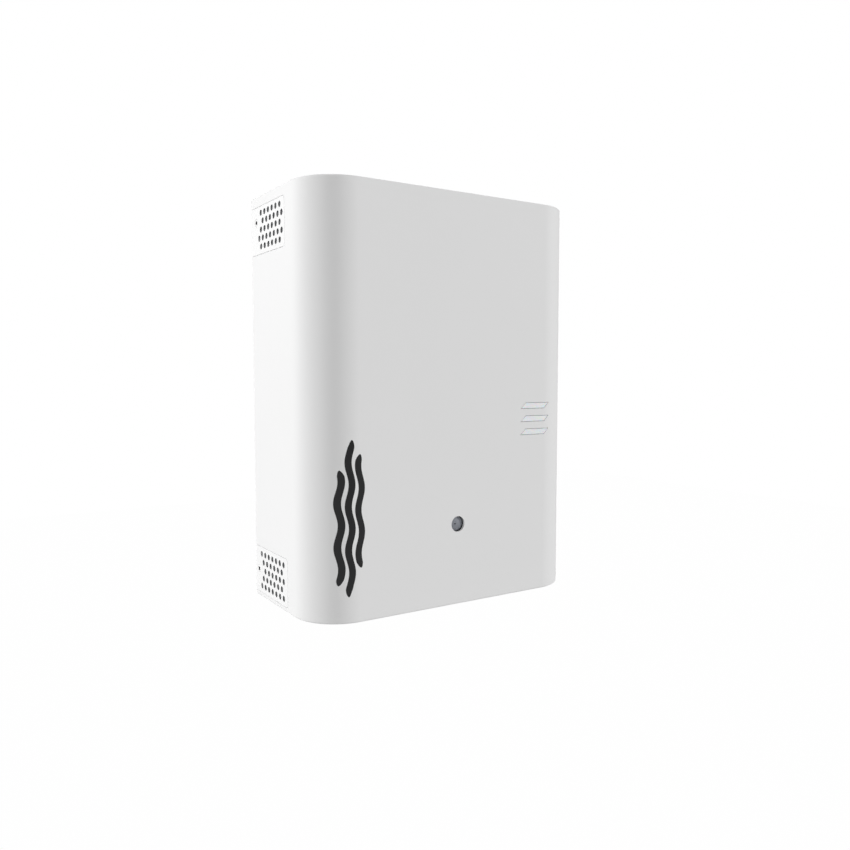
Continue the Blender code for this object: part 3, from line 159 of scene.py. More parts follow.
DIFFUSER = finish("frosted_diffuser", (0.90, 0.91, 0.92), 0.38, tone=0.01, grain=1200,
                  relief=0.00001, Subsurface_Weight=0.25, Subsurface_Scale=0.002,
                  Coat_Weight=0.3, Coat_Roughness=0.2)
INK = finish("black_print", (0.006, 0.006, 0.007), 0.40, tone=0.1, grain=1400, relief=0.00001)
BOARD = finish("solder_mask", (0.010, 0.13, 0.050), 0.30, tone=0.10, blotch=90, grain=1500,
               relief=0.00001, Coat_Weight=0.5, Coat_Roughness=0.15)
TRACK = finish("masked_copper", (0.030, 0.26, 0.09), 0.28, tone=0.05, grain=1500,
               Coat_Weight=0.5, Coat_Roughness=0.15)
TIN = finish("tinned_pad", (0.66, 0.67, 0.68), 0.28, metal=1.0, tone=0.08, blotch=700,
             grain=3000, relief=0.00001)
SILK = finish("white_silkscreen", (0.75, 0.76, 0.74), 0.55, tone=0.03, grain=1500)
LENS = finish("led_lens", (0.82, 0.84, 0.80), 0.16, tone=0.02, grain=800,
              Subsurface_Weight=0.2, Subsurface_Scale=0.001)


# ---- Mesh helpers ----
def settle(obj):
    """Turn an object and its modifiers into one plain mesh."""
    graph = bpy.context.evaluated_depsgraph_get()
    graph.update()
    mesh = bpy.data.meshes.new_from_object(obj.evaluated_get(graph))
    mesh.name = obj.name
    obj.modifiers.clear()
    obj.data = mesh
    return obj


def link(name, bm, mat):
    bmesh.ops.recalc_face_normals(bm, faces=bm.faces)
    mesh = bpy.data.meshes.new(name)
    bm.to_mesh(mesh)
    bm.free()
    obj = bpy.data.objects.new(name, mesh)
    SCENE.collection.objects.link(obj)
    if mat:
        mesh.materials.append(mat)
    return obj


def soften(obj, width=0.0003, segments=2, angle=35):
    """Round the sharp edges and shade the rest smoothly."""
    if width:
        bevel = obj.modifiers.new("bevel", "BEVEL")
        bevel.width = width
        bevel.segments = segments
        bevel.limit_method = "ANGLE"
        bevel.angle_limit = math.radians(angle)
        bevel.use_clamp_overlap = True
        settle(obj)
    obj.data.shade_smooth()
    obj.data.set_sharp_from_angle(angle=math.radians(40))
    even = obj.modifiers.new("normals", "WEIGHTED_NORMAL")
    even.keep_sharp = True
    return settle(obj)


def merge(name, pieces):
    """One object from several, with their materials kept."""
    mats = []
    bm = bmesh.new()
    for piece in pieces:
        first = len(bm.faces)
        bm.from_mesh(piece.data)
        bm.faces.ensure_lookup_table()
        mat = piece.data.materials[0] if piece.data.materials else None
        if mat not in mats:
            mats.append(mat)
        for face in bm.faces[first:]:
            face.material_index = mats.index(mat)
        bpy.data.objects.remove(piece)
    obj = link(name, bm, None)
    for mat in mats:
        obj.data.materials.append(mat)
    obj.data.shade_smooth()
    obj.data.set_sharp_from_angle(angle=math.radians(40))
    return obj


def on_axis(axis, u, v, along):
    return {"X": (along, u, v), "Y": (u, along, v), "Z": (u, v, along)}[axis]


def prism(name, outlines, axis, low, high, mat=None):
    """Extrude an outline, or a list of separate ones, along an axis."""
    if not isinstance(outlines[0], list):
        outlines = [outlines]
    bm = bmesh.new()
    for outline in outlines:
        near = [bm.verts.new(on_axis(axis, u, v, low)) for u, v in outline]
        far = [bm.verts.new(on_axis(axis, u, v, high)) for u, v in outline]
        bm.faces.new(near)
        bm.faces.new(far)
        for i in range(len(outline)):
            j = (i + 1) % len(outline)
            bm.faces.new((near[i], near[j], far[j], far[i]))
    return link(name, bm, mat)


def arc(cu, cv, radius, start, end, steps):
    angles = [math.radians(start + (end - start) * i / steps) for i in range(steps + 1)]
    return [(cu + radius * math.cos(a), cv + radius * math.sin(a)) for a in angles]


def circle(cu, cv, radius, sides=32):
    return arc(cu, cv, radius, 0, 360, sides)[:-1]


def rounded(u0, u1, v0, v1, radius, steps=6):
    corners = ((u1 - radius, v1 - radius, 0), (u0 + radius, v1 - radius, 90),
               (u0 + radius, v0 + radius, 180), (u1 - radius, v0 + radius, 270))
    points = []
    for cu, cv, start in corners:
        points += arc(cu, cv, radius, start, start + 90, steps)
    return points


def box(name, low, high, mat=None, radius=0.0004, segments=2):
    """A block between two corners, its edges rounded."""
    obj = prism(name, [(low[0], low[1]), (high[0], low[1]), (high[0], high[1]),
                       (low[0], high[1])], "Z", low[2], high[2], mat)
    return soften(obj, radius, segments) if radius and mat else obj


def turned(name, profile, base, direction, mat=None, sides=48):
    """Spin (radius, station) points about the line from base along direction."""
    bm = bmesh.new()
    turn = Vector((0, 0, 1)).rotation_difference(Vector(direction)).to_matrix().to_4x4()
    verts = [bm.verts.new((r, 0, s)) for r, s in profile]
    edges = [bm.edges.new(pair) for pair in zip(verts, verts[1:])]
    if profile[0][0] > 0 and profile[-1][0] > 0:
        edges.append(bm.edges.new((verts[-1], verts[0])))
    bmesh.ops.spin(bm, geom=verts + edges, cent=(0, 0, 0), axis=(0, 0, 1), dvec=(0, 0, 0),
                   angle=math.tau, steps=sides, use_merge=True)
    bmesh.ops.remove_doubles(bm, verts=bm.verts, dist=0.000005)
    bm.transform(Matrix.Translation(base) @ turn)
    obj = link(name, bm, mat)
    obj.data.shade_smooth()
    obj.data.set_sharp_from_angle(angle=math.radians(35))
    return obj


def cut(target, *tools, operation="DIFFERENCE"):
    """Take the tools away from the target, or join them on, and remove them."""
    for tool in tools:
        step = target.modifiers.new(tool.name, "BOOLEAN")
        step.operation = operation
        step.solver = "EXACT"
        step.object = tool
    settle(target)
    for tool in tools:
        bpy.data.objects.remove(tool)
    return target


def pipe(name, points, radius, mat, sides=14, closed_ends=True):
    """A round tube along a line of points, its frame carried along without twist."""
    bm = bmesh.new()
    rings = []
    ahead = (points[1] - points[0]).normalized()
    side = ahead.orthogonal().normalized()
    for i, point in enumerate(points):
        before = points[max(i - 1, 0)]
        after = points[min(i + 1, len(points) - 1)]
        new = (after - before).normalized()
        side = (side - new * side.dot(new)).normalized()
        up = new.cross(side)
        rings.append([bm.verts.new(point + radius * (side * math.cos(math.tau * k / sides)
                                                     + up * math.sin(math.tau * k / sides)))
                      for k in range(sides)])
    for ring, following in zip(rings, rings[1:]):
        for k in range(sides):
            j = (k + 1) % sides
            bm.faces.new((ring[k], ring[j], following[j], following[k]))
    if closed_ends:
        bm.faces.new(rings[0])
        bm.faces.new(rings[-1])
    obj = link(name, bm, mat)
    obj.data.shade_smooth()
    obj.data.set_sharp_from_angle(angle=math.radians(50))
    return obj


def smooth_route(points, spacing=0.0015):
    """Evenly spaced points on a smooth curve through the route's own points."""
    points = [Vector(p) for p in points]
    ends = [2 * points[0] - points[1]] + points + [2 * points[-1] - points[-2]]
    route = []
    for i in range(1, len(ends) - 2):
        before, start, end, after = ends[i - 1:i + 3]
        steps = max(2, round((end - start).length / spacing))
        for k in range(steps):
            t = k / steps
            route.append(0.5 * (2 * start + (end - before) * t
                                + (2 * before - 5 * start + 4 * end - after) * t * t
                                + (3 * start - before - 3 * end + after) * t ** 3))
    return route + [points[-1]]


def place(obj, body, slot, *nodes):
    """Say what a piece rides on and which CAD nodes it stands for, hiding those nodes; the slot is
    not used.
    """
    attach(obj, body)
    if nodes:
        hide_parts(*nodes)
    return obj


def up(z):
    """A height given from the underside of the unit."""
    return BOTTOM + z


# ---- Cover ----
def cover_outline(inset, rear, steps=28):
    half = WIDTH / 2 - inset
    front = FRONT + inset
    radius = CORNER_R - inset
    right = arc(half - radius, front + radius, radius, 0, -90, steps)
    left = arc(radius - half, front + radius, radius, -90, -180, steps)
    return [(half, rear)] + right + left + [(-half, rear)]


def shell(name, levels, rear, mat=None):
    """A closed block from outlines stacked in height, each level being (inset, height)."""
    bm = bmesh.new()
    rings = [[bm.verts.new((x, y, z)) for x, y in cover_outline(inset, rear)]
             for inset, z in levels]
    for ring, above in zip(rings, rings[1:]):
        for k in range(len(ring)):
            j = (k + 1) % len(ring)
            bm.faces.new((ring[k], ring[j], above[j], above[k]))
    bm.faces.new(rings[0])
    bm.faces.new(rings[-1])
    return link(name, bm, mat)


def edge_levels(low, high, radius, inset, steps=5):
    """Levels of a block whose top and bottom edges are rounded."""
    turn = [math.radians(90 * i / steps) for i in range(steps + 1)]
    lower = [(inset + radius * (1 - math.sin(a)), low + radius * (1 - math.cos(a))) for a in turn]
    upper = [(inset + radius * (1 - math.cos(a)), high - radius * (1 - math.sin(a)))
             for a in turn]
    return lower + upper


def front_surface(x):
    """The cover's front face at x, out into either corner."""
    past = max(0.0, abs(x) - BAR_TANGENT)
    return FRONT + CORNER_R - math.sqrt(CORNER_R ** 2 - past ** 2)


BAR_TALL = 0.0047
BAR_SLOPE = 0.005 / BAR_TALL
BAR_LEFT = 0.067
BAR_LONG = 0.026


def bar_outline(base, grow=0.0, steps=16):
    """A slanted bar's outline, with many points where it follows the rounded corner."""
    side = grow * math.hypot(1, BAR_SLOPE)
    levels = (base - grow, base + BAR_TALL + grow)
    edges = []
    for z in levels:
        left = BAR_LEFT - side + BAR_SLOPE * (z - base)
        right = BAR_LEFT + BAR_LONG + side + BAR_SLOPE * (z - base)
        edges.append([(left + (right - left) * i / steps, z) for i in range(steps + 1)])
    return edges[0] + edges[1][::-1]


def plate_outline(low, high, front, grow=0.0, rear=-0.0005, steps=8):
    radius = 0.0035 + grow
    centre = front - grow + radius
    lower = arc(centre, low - grow + radius, radius, 270, 180, steps)
    upper = arc(centre, high + grow - radius, radius, 180, 90, steps)
    return [(rear, low - grow)] + lower + upper + [(rear, high + grow)]


HEAD_R = 0.0031
HEAD_DEEP = 0.0016
SOCKET_R = 0.0019
SHANK_R = 0.0015
SCREW_LONG = 0.010
SIDES = (("left", -1), ("right", 1))
PLATES = {}
for level in ("upper", "lower"):
    near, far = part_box(f"{level}_right_plate")
    PLATES[level] = (near.z, far.z, near.y)
SCREW_AT = {"upper": (-0.011, up(0.3188)), "lower": (-0.007, up(0.0236))}
COVER_SCREW = (0.085, -0.030)


def screw_hole(spot, inward):
    profile = [(0, -0.004), (HEAD_R + GAP, -0.004), (HEAD_R + GAP, 0.0001),
               (SHANK_R + GAP, HEAD_DEEP + 2 * GAP), (SHANK_R + GAP, SCREW_LONG + GAP),
               (0, SCREW_LONG + GAP)]
    return turned("screw_way", profile, spot, inward, sides=40)


def make_cover():
    rear = HIGH.y
    cover = shell("cover_shell", edge_levels(LOW.z, HIGH.z, EDGE_R, 0.0), rear, POWDER)
    inside = shell("inside", edge_levels(LOW.z + SKIN, HIGH.z - SKIN, 0.0005, SKIN, 2), 0.004)
    tools = [inside, prism("fog_way", circle(0, NOZZLE.z, 0.0065, 64), "Y",
                           FRONT - 0.004, FRONT + 0.008)]
    tools.append(prism("bar_slots", [bar_outline(base, GAP) for base in BAR_BASES], "Y",
                       FRONT - 0.004, FRONT + 0.008))
    for _, sign in SIDES:
        wall = sign * WIDTH / 2
        for low, high, front in PLATES.values():
            tools.append(prism("notch", plate_outline(low, high, front, GAP, 0.004), "X",
                               wall - 0.004, wall + 0.004))
        tools.append(screw_hole((sign * COVER_SCREW[0], COVER_SCREW[1], BOTTOM), (0, 0, 1)))
    cut(cover, *tools)
    place(soften(cover, 0.00018, 2, 50), "cover", "white_steel", "cover")


def make_bars():
    for level, base in zip(("bottom", "middle", "top"), BAR_BASES):
        name = f"light_bar_{level}"
        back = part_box(name)[1].y
        bar = prism(f"{level}_bar_diffuser", bar_outline(base), "Y", FRONT, back, DIFFUSER)
        for vert in bar.data.vertices:
            if vert.co.y < back - GAP:
                vert.co.y = front_surface(vert.co.x) + 0.00005
        place(soften(bar, 0.0002, 3, 50), "cover", "light_bar", name)


# ---- Perforated plates and their screws ----
PERFORATED_SHEET = 0.0003
HOLE_R = 0.0025
HOLE_PITCH = 0.008
ROW_PITCH = HOLE_PITCH * math.sqrt(3) / 2
HOLE_ROWS = {"upper": (-0.0653, up(0.3257), (1, 3), 1),
             "lower": (-0.0614, up(0.0375), (0, 2, 4), 2)}


def make_plate(level, side, sign):
    low, high, front = PLATES[level]
    first, top_row, long_rows, screw_row = HOLE_ROWS[level]
    face = sign * WIDTH / 2
    plate = prism(f"{level}_{side}_vent", plate_outline(low, high, front), "X",
                  min(face, face - sign * SKIN), max(face, face - sign * SKIN), PLATE_POWDER)
    holes = []
    for row in range(5):
        is_long = row in long_rows
        count = 7 - (not is_long) - (row == screw_row and is_long)
        start = first + (0 if is_long else HOLE_PITCH / 2)
        holes += [circle(start + i * HOLE_PITCH, top_row - row * ROW_PITCH, HOLE_R, 28)
                  for i in range(count)]
    spot = (face, *SCREW_AT[level])
    inward = (-sign, 0, 0)
    thin = sorted((face - sign * PERFORATED_SHEET, face - sign * 0.006))
    rear = spot[1] - HEAD_R - 0.0002
    pocket = rounded(front + 0.003, rear, low + 0.003, high - 0.003, 0.002)
    cut(plate, prism("holes", holes, "X", face - 0.004, face + 0.004), screw_hole(spot, inward),
        prism("pocket", pocket, "X", *thin))
    place(soften(plate, 0.00022, 2, 50), "chassis", "white_steel", f"{level}_{side}_plate")
    # A felt pad behind the holes; its dark colour is painted shade for the unit's shaded inside.
    depth = sorted((face - sign * 0.0009, face - sign * 0.0014))
    felt = prism(f"{level}_{side}_dust_felt", rounded(front + 0.0032, rear - 0.0002, low + 0.0032,
                                                      high - 0.0032, 0.0018), "X", *depth, FELT_PAINTED_SHADE)
    place(soften(felt, 0.00015, 2), "chassis", "dark_steel")
    make_screw(f"{level}_{side}_vent_screw", spot, inward, PLATE_POWDER, "chassis",
               f"{level}_{side}_plate_screw")


def make_screw(name, spot, inward, mat, body, node):
    """A countersunk screw with a painted head, a hexagon socket whose inner faces get painted
    shade, and a cut thread below.
    """
    profile = [(0, 0.0001), (HEAD_R - 0.0002, 0.0001), (HEAD_R - 0.00005, 0.00018),
               (HEAD_R, 0.00032), (SHANK_R - 0.0001, HEAD_DEEP)]
    turn = HEAD_DEEP + 0.0004
    while turn < SCREW_LONG - 0.0008:
        profile += [(SHANK_R - 0.00025, turn), (SHANK_R, turn + 0.0002)]
        turn += 0.0005
    profile += [(SHANK_R - 0.0003, SCREW_LONG - 0.0003), (0, SCREW_LONG)]
    screw = turned(name, profile, spot, inward, mat, 40)
    socket = turned("socket", [(0, -0.001), (SOCKET_R, -0.001), (SOCKET_R, 0.0014),
                               (0, 0.0019)], spot, inward, None, 6)
    cut(screw, socket)
    # The socket's inner faces take the near-black painted shade.
    dark = len(screw.data.materials)
    screw.data.materials.append(SOCKET_SHADE)
    for face in screw.data.polygons:
        away = face.center - Vector(spot)
        deep = away.dot(Vector(inward))
        if deep > 0.00015 and (away - Vector(inward) * deep).length < SOCKET_R * 1.01:
            face.material_index = dark
    screw.data.shade_smooth()
    screw.data.set_sharp_from_angle(angle=math.radians(30))
    place(screw, body, "screw_steel", node)


# ---- Nozzle tip ----
BAR_BASES = (up(0.1393), up(0.1508), up(0.1622))
NOZZLE = Vector((0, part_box("nozzle_tip")[0].y, up(0.0676)))
TIP_R = 0.0061
TIP_LONG = 0.014
SOCKET_DEEP = 0.007
TUBE_R = 0.0045
TUBE_BORE = 0.0022
MID_Y = -0.059


def make_tip():
    socket = TUBE_R + GAP
    crown = [(0.0055 * math.sin(math.radians(a)) / math.sin(math.radians(52)),
              0.0009 * (1 - math.cos(math.radians(a))) / (1 - math.cos(math.radians(52))))
             for a in range(0, 53, 4)]
    lip = arc(TIP_R - 0.0004, 0.0014, 0.0004, -90, 0, 4)
    profile = crown + lip + [(TIP_R, TIP_LONG - 0.0003),
                                              (TIP_R - 0.0003, TIP_LONG), (socket, TIP_LONG),
                                              (socket, TIP_LONG - SOCKET_DEEP),
                                              (0, TIP_LONG - SOCKET_DEEP)]
    tip = turned("fog_tip", profile, NOZZLE, (0, 1, 0), NOZZLE_STEEL, 72)
    lean = math.radians(15)
    way = (0, NOZZLE.y + TIP_LONG - SOCKET_DEEP, NOZZLE.z)
    jet = turned("jet", [(0, -0.0014), (0.0007, -0.0014), (0.0007, 0.009), (0, 0.009)], way,
                 (-math.sin(lean), -math.cos(lean), 0), None, 32)
    cut(tip, jet)
    tip.data.shade_smooth()
    tip.data.set_sharp_from_angle(angle=math.radians(40))
    place(tip, "nozzle", "steel", "nozzle_tip")


# ---- Print on the front left corner ----
PRINT_BANDS = ((-0.1078, 0.030, 0.119), (-0.0998, 0.021, 0.142), (-0.0918, 0.043, 0.131))


def make_print():
    """Three upright wavy bands, a plain sign for fog, following the rounded corner."""
    columns = 6
    skin = 0.00005
    pieces = []
    for k, (middle, low, high) in enumerate(PRINT_BANDS):
        bm = bmesh.new()
        steps = 110
        layers = {-skin: [], skin: []}
        for i in range(steps + 1):
            t = i / steps
            z = low + (high - low) * t
            ends = min(1.0, math.sqrt(max(t, 0.0005) / 0.05), math.sqrt(max(1 - t, 0.0005) / 0.05))
            half = 0.0027 * ends
            centre = middle + 0.0015 * math.sin(math.tau * z / 0.034 + 0.5 * k)
            for offset, rows in layers.items():
                row = []
                for j in range(columns + 1):
                    x = centre + half * (2 * j / columns - 1)
                    row.append(bm.verts.new((x, front_surface(x) + offset, up(z))))
                rows.append(row)
        for rows in layers.values():
            for row, above in zip(rows, rows[1:]):
                for j in range(columns):
                    bm.faces.new((row[j], row[j + 1], above[j + 1], above[j]))
        outer, inner = layers.values()
        for j in (0, columns):
            for i in range(steps):
                bm.faces.new((outer[i][j], outer[i + 1][j], inner[i + 1][j], inner[i][j]))
        for i in (0, steps):
            for j in range(columns):
                bm.faces.new((outer[i][j], outer[i][j + 1], inner[i][j + 1], inner[i][j]))
        pieces.append(link("band", bm, INK))
    place(merge("fog_print", pieces), "cover", "black_plastic")


# ---- Chassis, brackets and their fixings ----
def keep(mat, *nodes):
    """Give CAD nodes whose shape is right a better finish."""
    for node in nodes:
        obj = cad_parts[node]
        obj.data.materials.clear()
        obj.data.materials.append(mat)
        obj.data.shade_smooth()
        obj.data.set_sharp_from_angle(angle=math.radians(30))


def pan_head(spot, direction, radius=0.0028, tall=0.0019):
    """A domed screw head with a cross recess, seated on a surface and facing direction."""
    profile = [(0, tall)] + arc(0, 0, 1, 78, 20, 7)
    profile = [(0, tall)] + [(radius * u / math.cos(math.radians(20)), tall * v / 1.0)
                             for u, v in profile[1:]] + [(radius, 0), (0, 0)]
    head = turned("head", profile, spot, direction, SCREW, 28)
    facing = Vector((0, 0, 1)).rotation_difference(Vector(direction)).to_matrix().to_4x4()
    tools = []
    for angle in (30, 120):
        bm = bmesh.new()
        bmesh.ops.create_cube(bm, size=1)
        bmesh.ops.scale(bm, verts=bm.verts, vec=(1.15 * radius, 0.2 * radius, tall))
        bm.transform(Matrix.Translation(spot) @ facing
                     @ Matrix.Rotation(math.radians(angle), 4, "Z")
                     @ Matrix.Translation((0, 0, tall * 0.95)))
        tools.append(link("recess", bm, None))
    return cut(head, *tools)


def washer(spot, direction, radius=0.0038, tall=0.0005):
    return turned("washer", [(0.0016, 0), (radius, 0), (radius, tall * 0.7),
                             (radius - 0.0001, tall), (0.0016, tall)], spot, direction, ZINC, 28)


def make_fixings():
    """Screws that hold each bracket to the wall plate, through its feet and flanges."""
    out = FORWARD
    heads = []
    for node, tall in (("transformer_clamp", 0.010), ("battery_bracket", 0.0)):
        low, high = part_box(node)
        foot = -0.0018 - 0.0012
        for x in (low.x + 0.004, high.x - 0.004):
            for dz in ((-tall, tall) if tall else (0,)):
                spot = (x, foot, (low.z + high.z) / 2 + dz)
                heads += [washer(spot, out), pan_head((spot[0], foot - 0.0004, spot[2]), out)]
    low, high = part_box("heater_lid")
    for x in (low.x + 0.006, 0, high.x - 0.006):
        for z in (low.z + 0.006, high.z - 0.006):
            heads.append(pan_head((x, low.y, z), out, 0.0026, 0.0017))
    place(merge("bracket_screws", heads), "chassis", "screw_steel")


# ---- Heater ----
def make_lid():
    """The heater's front lid, with a raised field and turned-over edges."""
    low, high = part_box("heater_lid")
    spot = circle(0, NOZZLE.z, TUBE_R + GAP, 40)
    lid = prism("heater_front_lid", rounded(low.x, high.x, low.z, high.z, 0.002), "Y",
                low.y, high.y, ZINC)
    field = prism("field", rounded(low.x + 0.013, high.x - 0.013, low.z + 0.013, high.z - 0.013,
                                   0.006), "Y", low.y - 0.0008, low.y + 0.0006, ZINC)
    cut(lid, field, operation="UNION")
    cut(lid, prism("tube_way", spot, "Y", low.y - 0.004, high.y + 0.004))
    place(soften(lid, 0.0004, 3), "chassis", "zinc_steel", "heater_lid")
    collar = turned("tube_collar", [(TUBE_R + GAP, 0), (0.0085, 0), (0.0085, 0.001),
                                    (0.0068, 0.0016), (0.0062, 0.004), (TUBE_R + GAP, 0.0042)],
                    (0, low.y - 0.0008, NOZZLE.z), FORWARD, ZINC, 40)
    place(collar, "chassis", "zinc_steel")


def make_nozzle_tube():
    low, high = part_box("nozzle_tube")
    length = high.y - low.y
    profile = [(TUBE_BORE, 0), (TUBE_R - 0.0003, 0), (TUBE_R, 0.0003), (TUBE_R, length - 0.0003),
               (TUBE_R - 0.0003, length), (TUBE_BORE, length)]
    tube = turned("fog_tube", profile, (0, low.y, NOZZLE.z), (0, 1, 0), PIPE, 40)
    place(tube, "chassis", "steel", "nozzle_tube")


# ---- Fluid can, strap, valve and pipe ----
def make_can():
    low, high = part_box("fluid_can")
    x, y = (low.x + high.x) / 2, (low.y + high.y) / 2
    radius = (high.x - low.x) / 2
    tall = high.z - low.z
    neck = []
    turn = 0.0006
    while turn < 0.0150:
        neck += [(0.0068, turn), (0.0070, turn + 0.0003), (0.0068, turn + 0.0006)]
        turn += 0.0008
    shoulder = [(0.0140 + 0.018 * math.sin(math.radians(a)),
                 0.0320 - 0.016 * math.cos(math.radians(a))) for a in range(0, 91, 9)]
    profile = [(0, 0), (0.0062, 0)] + neck + [(0.0070, 0.0158), (0.0132, 0.0160)] + shoulder
    profile += [(radius - 0.0006, 0.0335), (radius - 0.0006, 0.0345), (radius, 0.0352),
                (radius, tall - 0.0075), (radius - 0.0007, tall - 0.0068),
                (radius - 0.0007, tall - 0.0060), (radius - 0.0001, tall - 0.0052)]
    profile += [(radius - 0.004 + 0.004 * math.cos(math.radians(a)),
                 tall - 0.004 + 0.004 * math.sin(math.radians(a))) for a in range(0, 91, 15)]
    profile += [(radius - 0.0065, tall - 0.0012), (radius - 0.010, tall - 0.0034),
                (0.008, tall - 0.0046), (0, tall - 0.0050)]
    can = turned("fog_fluid_can", profile, (x, y, low.z), (0, 0, 1), CAN, 72)
    place(can, "chassis", "aluminium", "fluid_can")

    low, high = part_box("can_strap")
    middle = (low.z + high.z) / 2
    outer = (high.x - low.x) / 2
    inner = outer - 0.0008
    y = high.y - outer
    half = (high.z - low.z) / 2
    band = [(inner, -half), (outer, -half), (outer, -half + 0.0018),
            (outer - 0.0003, -half + 0.0022), (outer - 0.0003, half - 0.0022),
            (outer, half - 0.0018), (outer, half), (inner, half)]
    ring = turned("can_band", band, (x, y, middle), (0, 0, 1), STRAP, 80)
    gap_tool = box("slit", (x - 0.0042, low.y, middle - 0.02), (x + 0.0042, y - inner + 0.004,
                                                                middle + 0.02))
    cut(ring, gap_tool)
    pieces = [soften(ring, 0.00015, 2)]
    for sign in (-1, 1):
        near = x + sign * 0.0008
        far = x + sign * 0.0044
        ear = prism("ear", [(near, low.y), (near + sign * 0.0008, low.y),
                            (near + sign * 0.0008, y - outer - 0.0012),
                            (near + sign * 0.0014, y - outer - 0.0004), (far, y - outer + 0.0001),
                            (far, y - inner), (near + sign * 0.0006, y - inner),
                            (near, y - outer - 0.001)], "Z", low.z, high.z, STRAP)
        pieces.append(soften(ear, 0.00015, 2))
    bolt_y = (low.y + y - outer) / 2 - 0.0003
    pieces.append(turned("bolt", [(0, -0.0040), (0.0014, -0.0040), (0.0014, 0.0040), (0, 0.0040)],
                         (x, bolt_y, middle), (1, 0, 0), SCREW, 20))
    pieces.append(turned("nut", [(0, 0.0016), (0.0026, 0.0016), (0.0027, 0.0018), (0.0027, 0.0034),
                                 (0.0025, 0.0036), (0, 0.0036)], (x, bolt_y, middle), (-1, 0, 0),
                         SCREW, 6))
    pieces.append(pan_head((x + 0.0016, bolt_y, middle), (1, 0, 0), 0.0026, 0.0018))
    place(merge("can_clamp_band", pieces), "chassis", "steel", "can_strap")


def make_valve():
    low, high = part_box("valve_body")
    body = box("valve_block", low, high, BRASS, 0)
    x, y = (low.x + high.x) / 2, MID_Y
    seat = (x, low.y, (low.z + high.z) / 2)
    cut(body, turned("neck_way", [(0, -0.006), (0.0073, -0.006), (0.0073, 0.004), (0, 0.004)],
                     (x, y, high.z), (0, 0, 1), None, 40),
        turned("pipe_way", [(0, -0.004), (0.0023, -0.004), (0.0023, 0.0053), (0, 0.0053)],
               (x, y, low.z), (0, 0, 1), None, 28),
        turned("plunger_way", [(0, -0.0053), (0.0041, -0.0053), (0.0041, 0.004), (0, 0.004)],
               seat, FORWARD, None, 32))
    place(soften(body, 0.0007, 3), "chassis", "brass", "valve_body")

    low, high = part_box("valve_coil")
    coil = box("coil", low, high, BLACK, 0)
    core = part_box("valve_core_tube")
    radius = (core[1].x - core[0].x) / 2
    way = turned("core_way", [(0, -0.004), (radius + GAP, -0.004), (radius + GAP, 0.05), (0, 0.05)],
                 seat, FORWARD, None, 40)
    cut(coil, way)
    pieces = [soften(coil, 0.0022, 4)]
    for y_at in (low.y, high.y - 0.0012):
        yoke = prism("yoke", rounded(low.x + 0.0008, high.x - 0.0008, low.z - 0.0006,
                                     high.z + 0.0006, 0.001), "Y", y_at, y_at + 0.0012, ZINC)
        hole = prism("yoke_way", circle(seat[0], seat[2], radius + GAP, 40), "Y", y_at - 0.004,
                     y_at + 0.004)
        pieces.append(soften(cut(yoke, hole), 0.0002, 2))
    place(merge("valve_coil_moulding", pieces), "chassis", "black_plastic", "valve_coil")

    length = core[1].y - core[0].y
    inner = radius - 0.0007
    profile = [(0, length - 0.0014), (inner, length - 0.0014), (inner, 0), (radius, 0),
               (radius, length - 0.0006), (radius - 0.0006, length), (0, length)]
    tube = turned("valve_tube", profile, (seat[0], core[1].y, seat[2]), FORWARD, POLISHED, 40)
    place(tube, "chassis", "steel", "valve_core_tube")

    low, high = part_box("valve_plunger")
    radius = (high.x - low.x) / 2
    length = high.y - low.y
    profile = [(0, 0), (radius - 0.0008, 0), (radius - 0.0008, 0.0008), (radius - 0.0002, 0.0012),
               (radius, 0.0016), (radius, 0.006), (radius - 0.0003, 0.0062),
               (radius - 0.0003, 0.0068), (radius, 0.0070), (radius, length - 0.0003),
               (radius - 0.0003, length), (0, length)]
    place(turned("valve_piston", profile, (seat[0], high.y, seat[2]), FORWARD, POLISHED, 40),
          "plunger", "steel", "valve_plunger")

    low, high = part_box("valve_spring")
    wire = 0.0003
    radius = (high.x - low.x) / 2 - wire
    near, far = high.y - wire, low.y + wire
    helix = []
    turns = 5
    for i in range(turns * 36 + 1):
        angle = math.tau * i / 36
        t = i / (turns * 36)
        helix.append(Vector(((low.x + high.x) / 2 + radius * math.cos(angle),
                             near + (far - near) * t, seat[2] + radius * math.sin(angle))))
    spring = pipe("piston_spring", helix, wire, STRAP, 10)
    place(spring, "chassis", "steel", "valve_spring")
    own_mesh(spring)


def make_pipe():
    low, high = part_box("feed_pipe")
    x = low.x + 0.002
    bend = 0.010
    route = [Vector((x, MID_Y, high.z)), Vector((x, MID_Y, NOZZLE.z + bend))]
    route += [Vector((x + bend - bend * math.cos(math.radians(a)), MID_Y,
                      NOZZLE.z + bend - bend * math.sin(math.radians(a)))) for a in range(6, 91, 6)]
    route.append(Vector((high.x, MID_Y, NOZZLE.z)))
    tube = pipe("fluid_pipe", route, 0.002, PIPE, 24)
    valve_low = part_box("valve_body")[0].z
    hexagon = [(0.0024, 0), (0.0052, 0), (0.0055, 0.0004), (0.0055, 0.0055), (0.0050, 0.0060),
               (0.0032, 0.0062), (0.0028, 0.0085), (0.0024, 0.0085)]
    nuts = [turned("nut", hexagon, (x, MID_Y, valve_low - GAP), (0, 0, -1), BRASS, 6),
            turned("nut", hexagon, (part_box("heater_housing")[0].x - GAP, MID_Y, NOZZLE.z),
                   (-1, 0, 0), BRASS, 6)]
    for nut in nuts:
        soften(nut, 0.00025, 2)
    place(tube, "chassis", "steel", "feed_pipe")
    place(merge("pipe_nuts", nuts), "chassis", "brass")


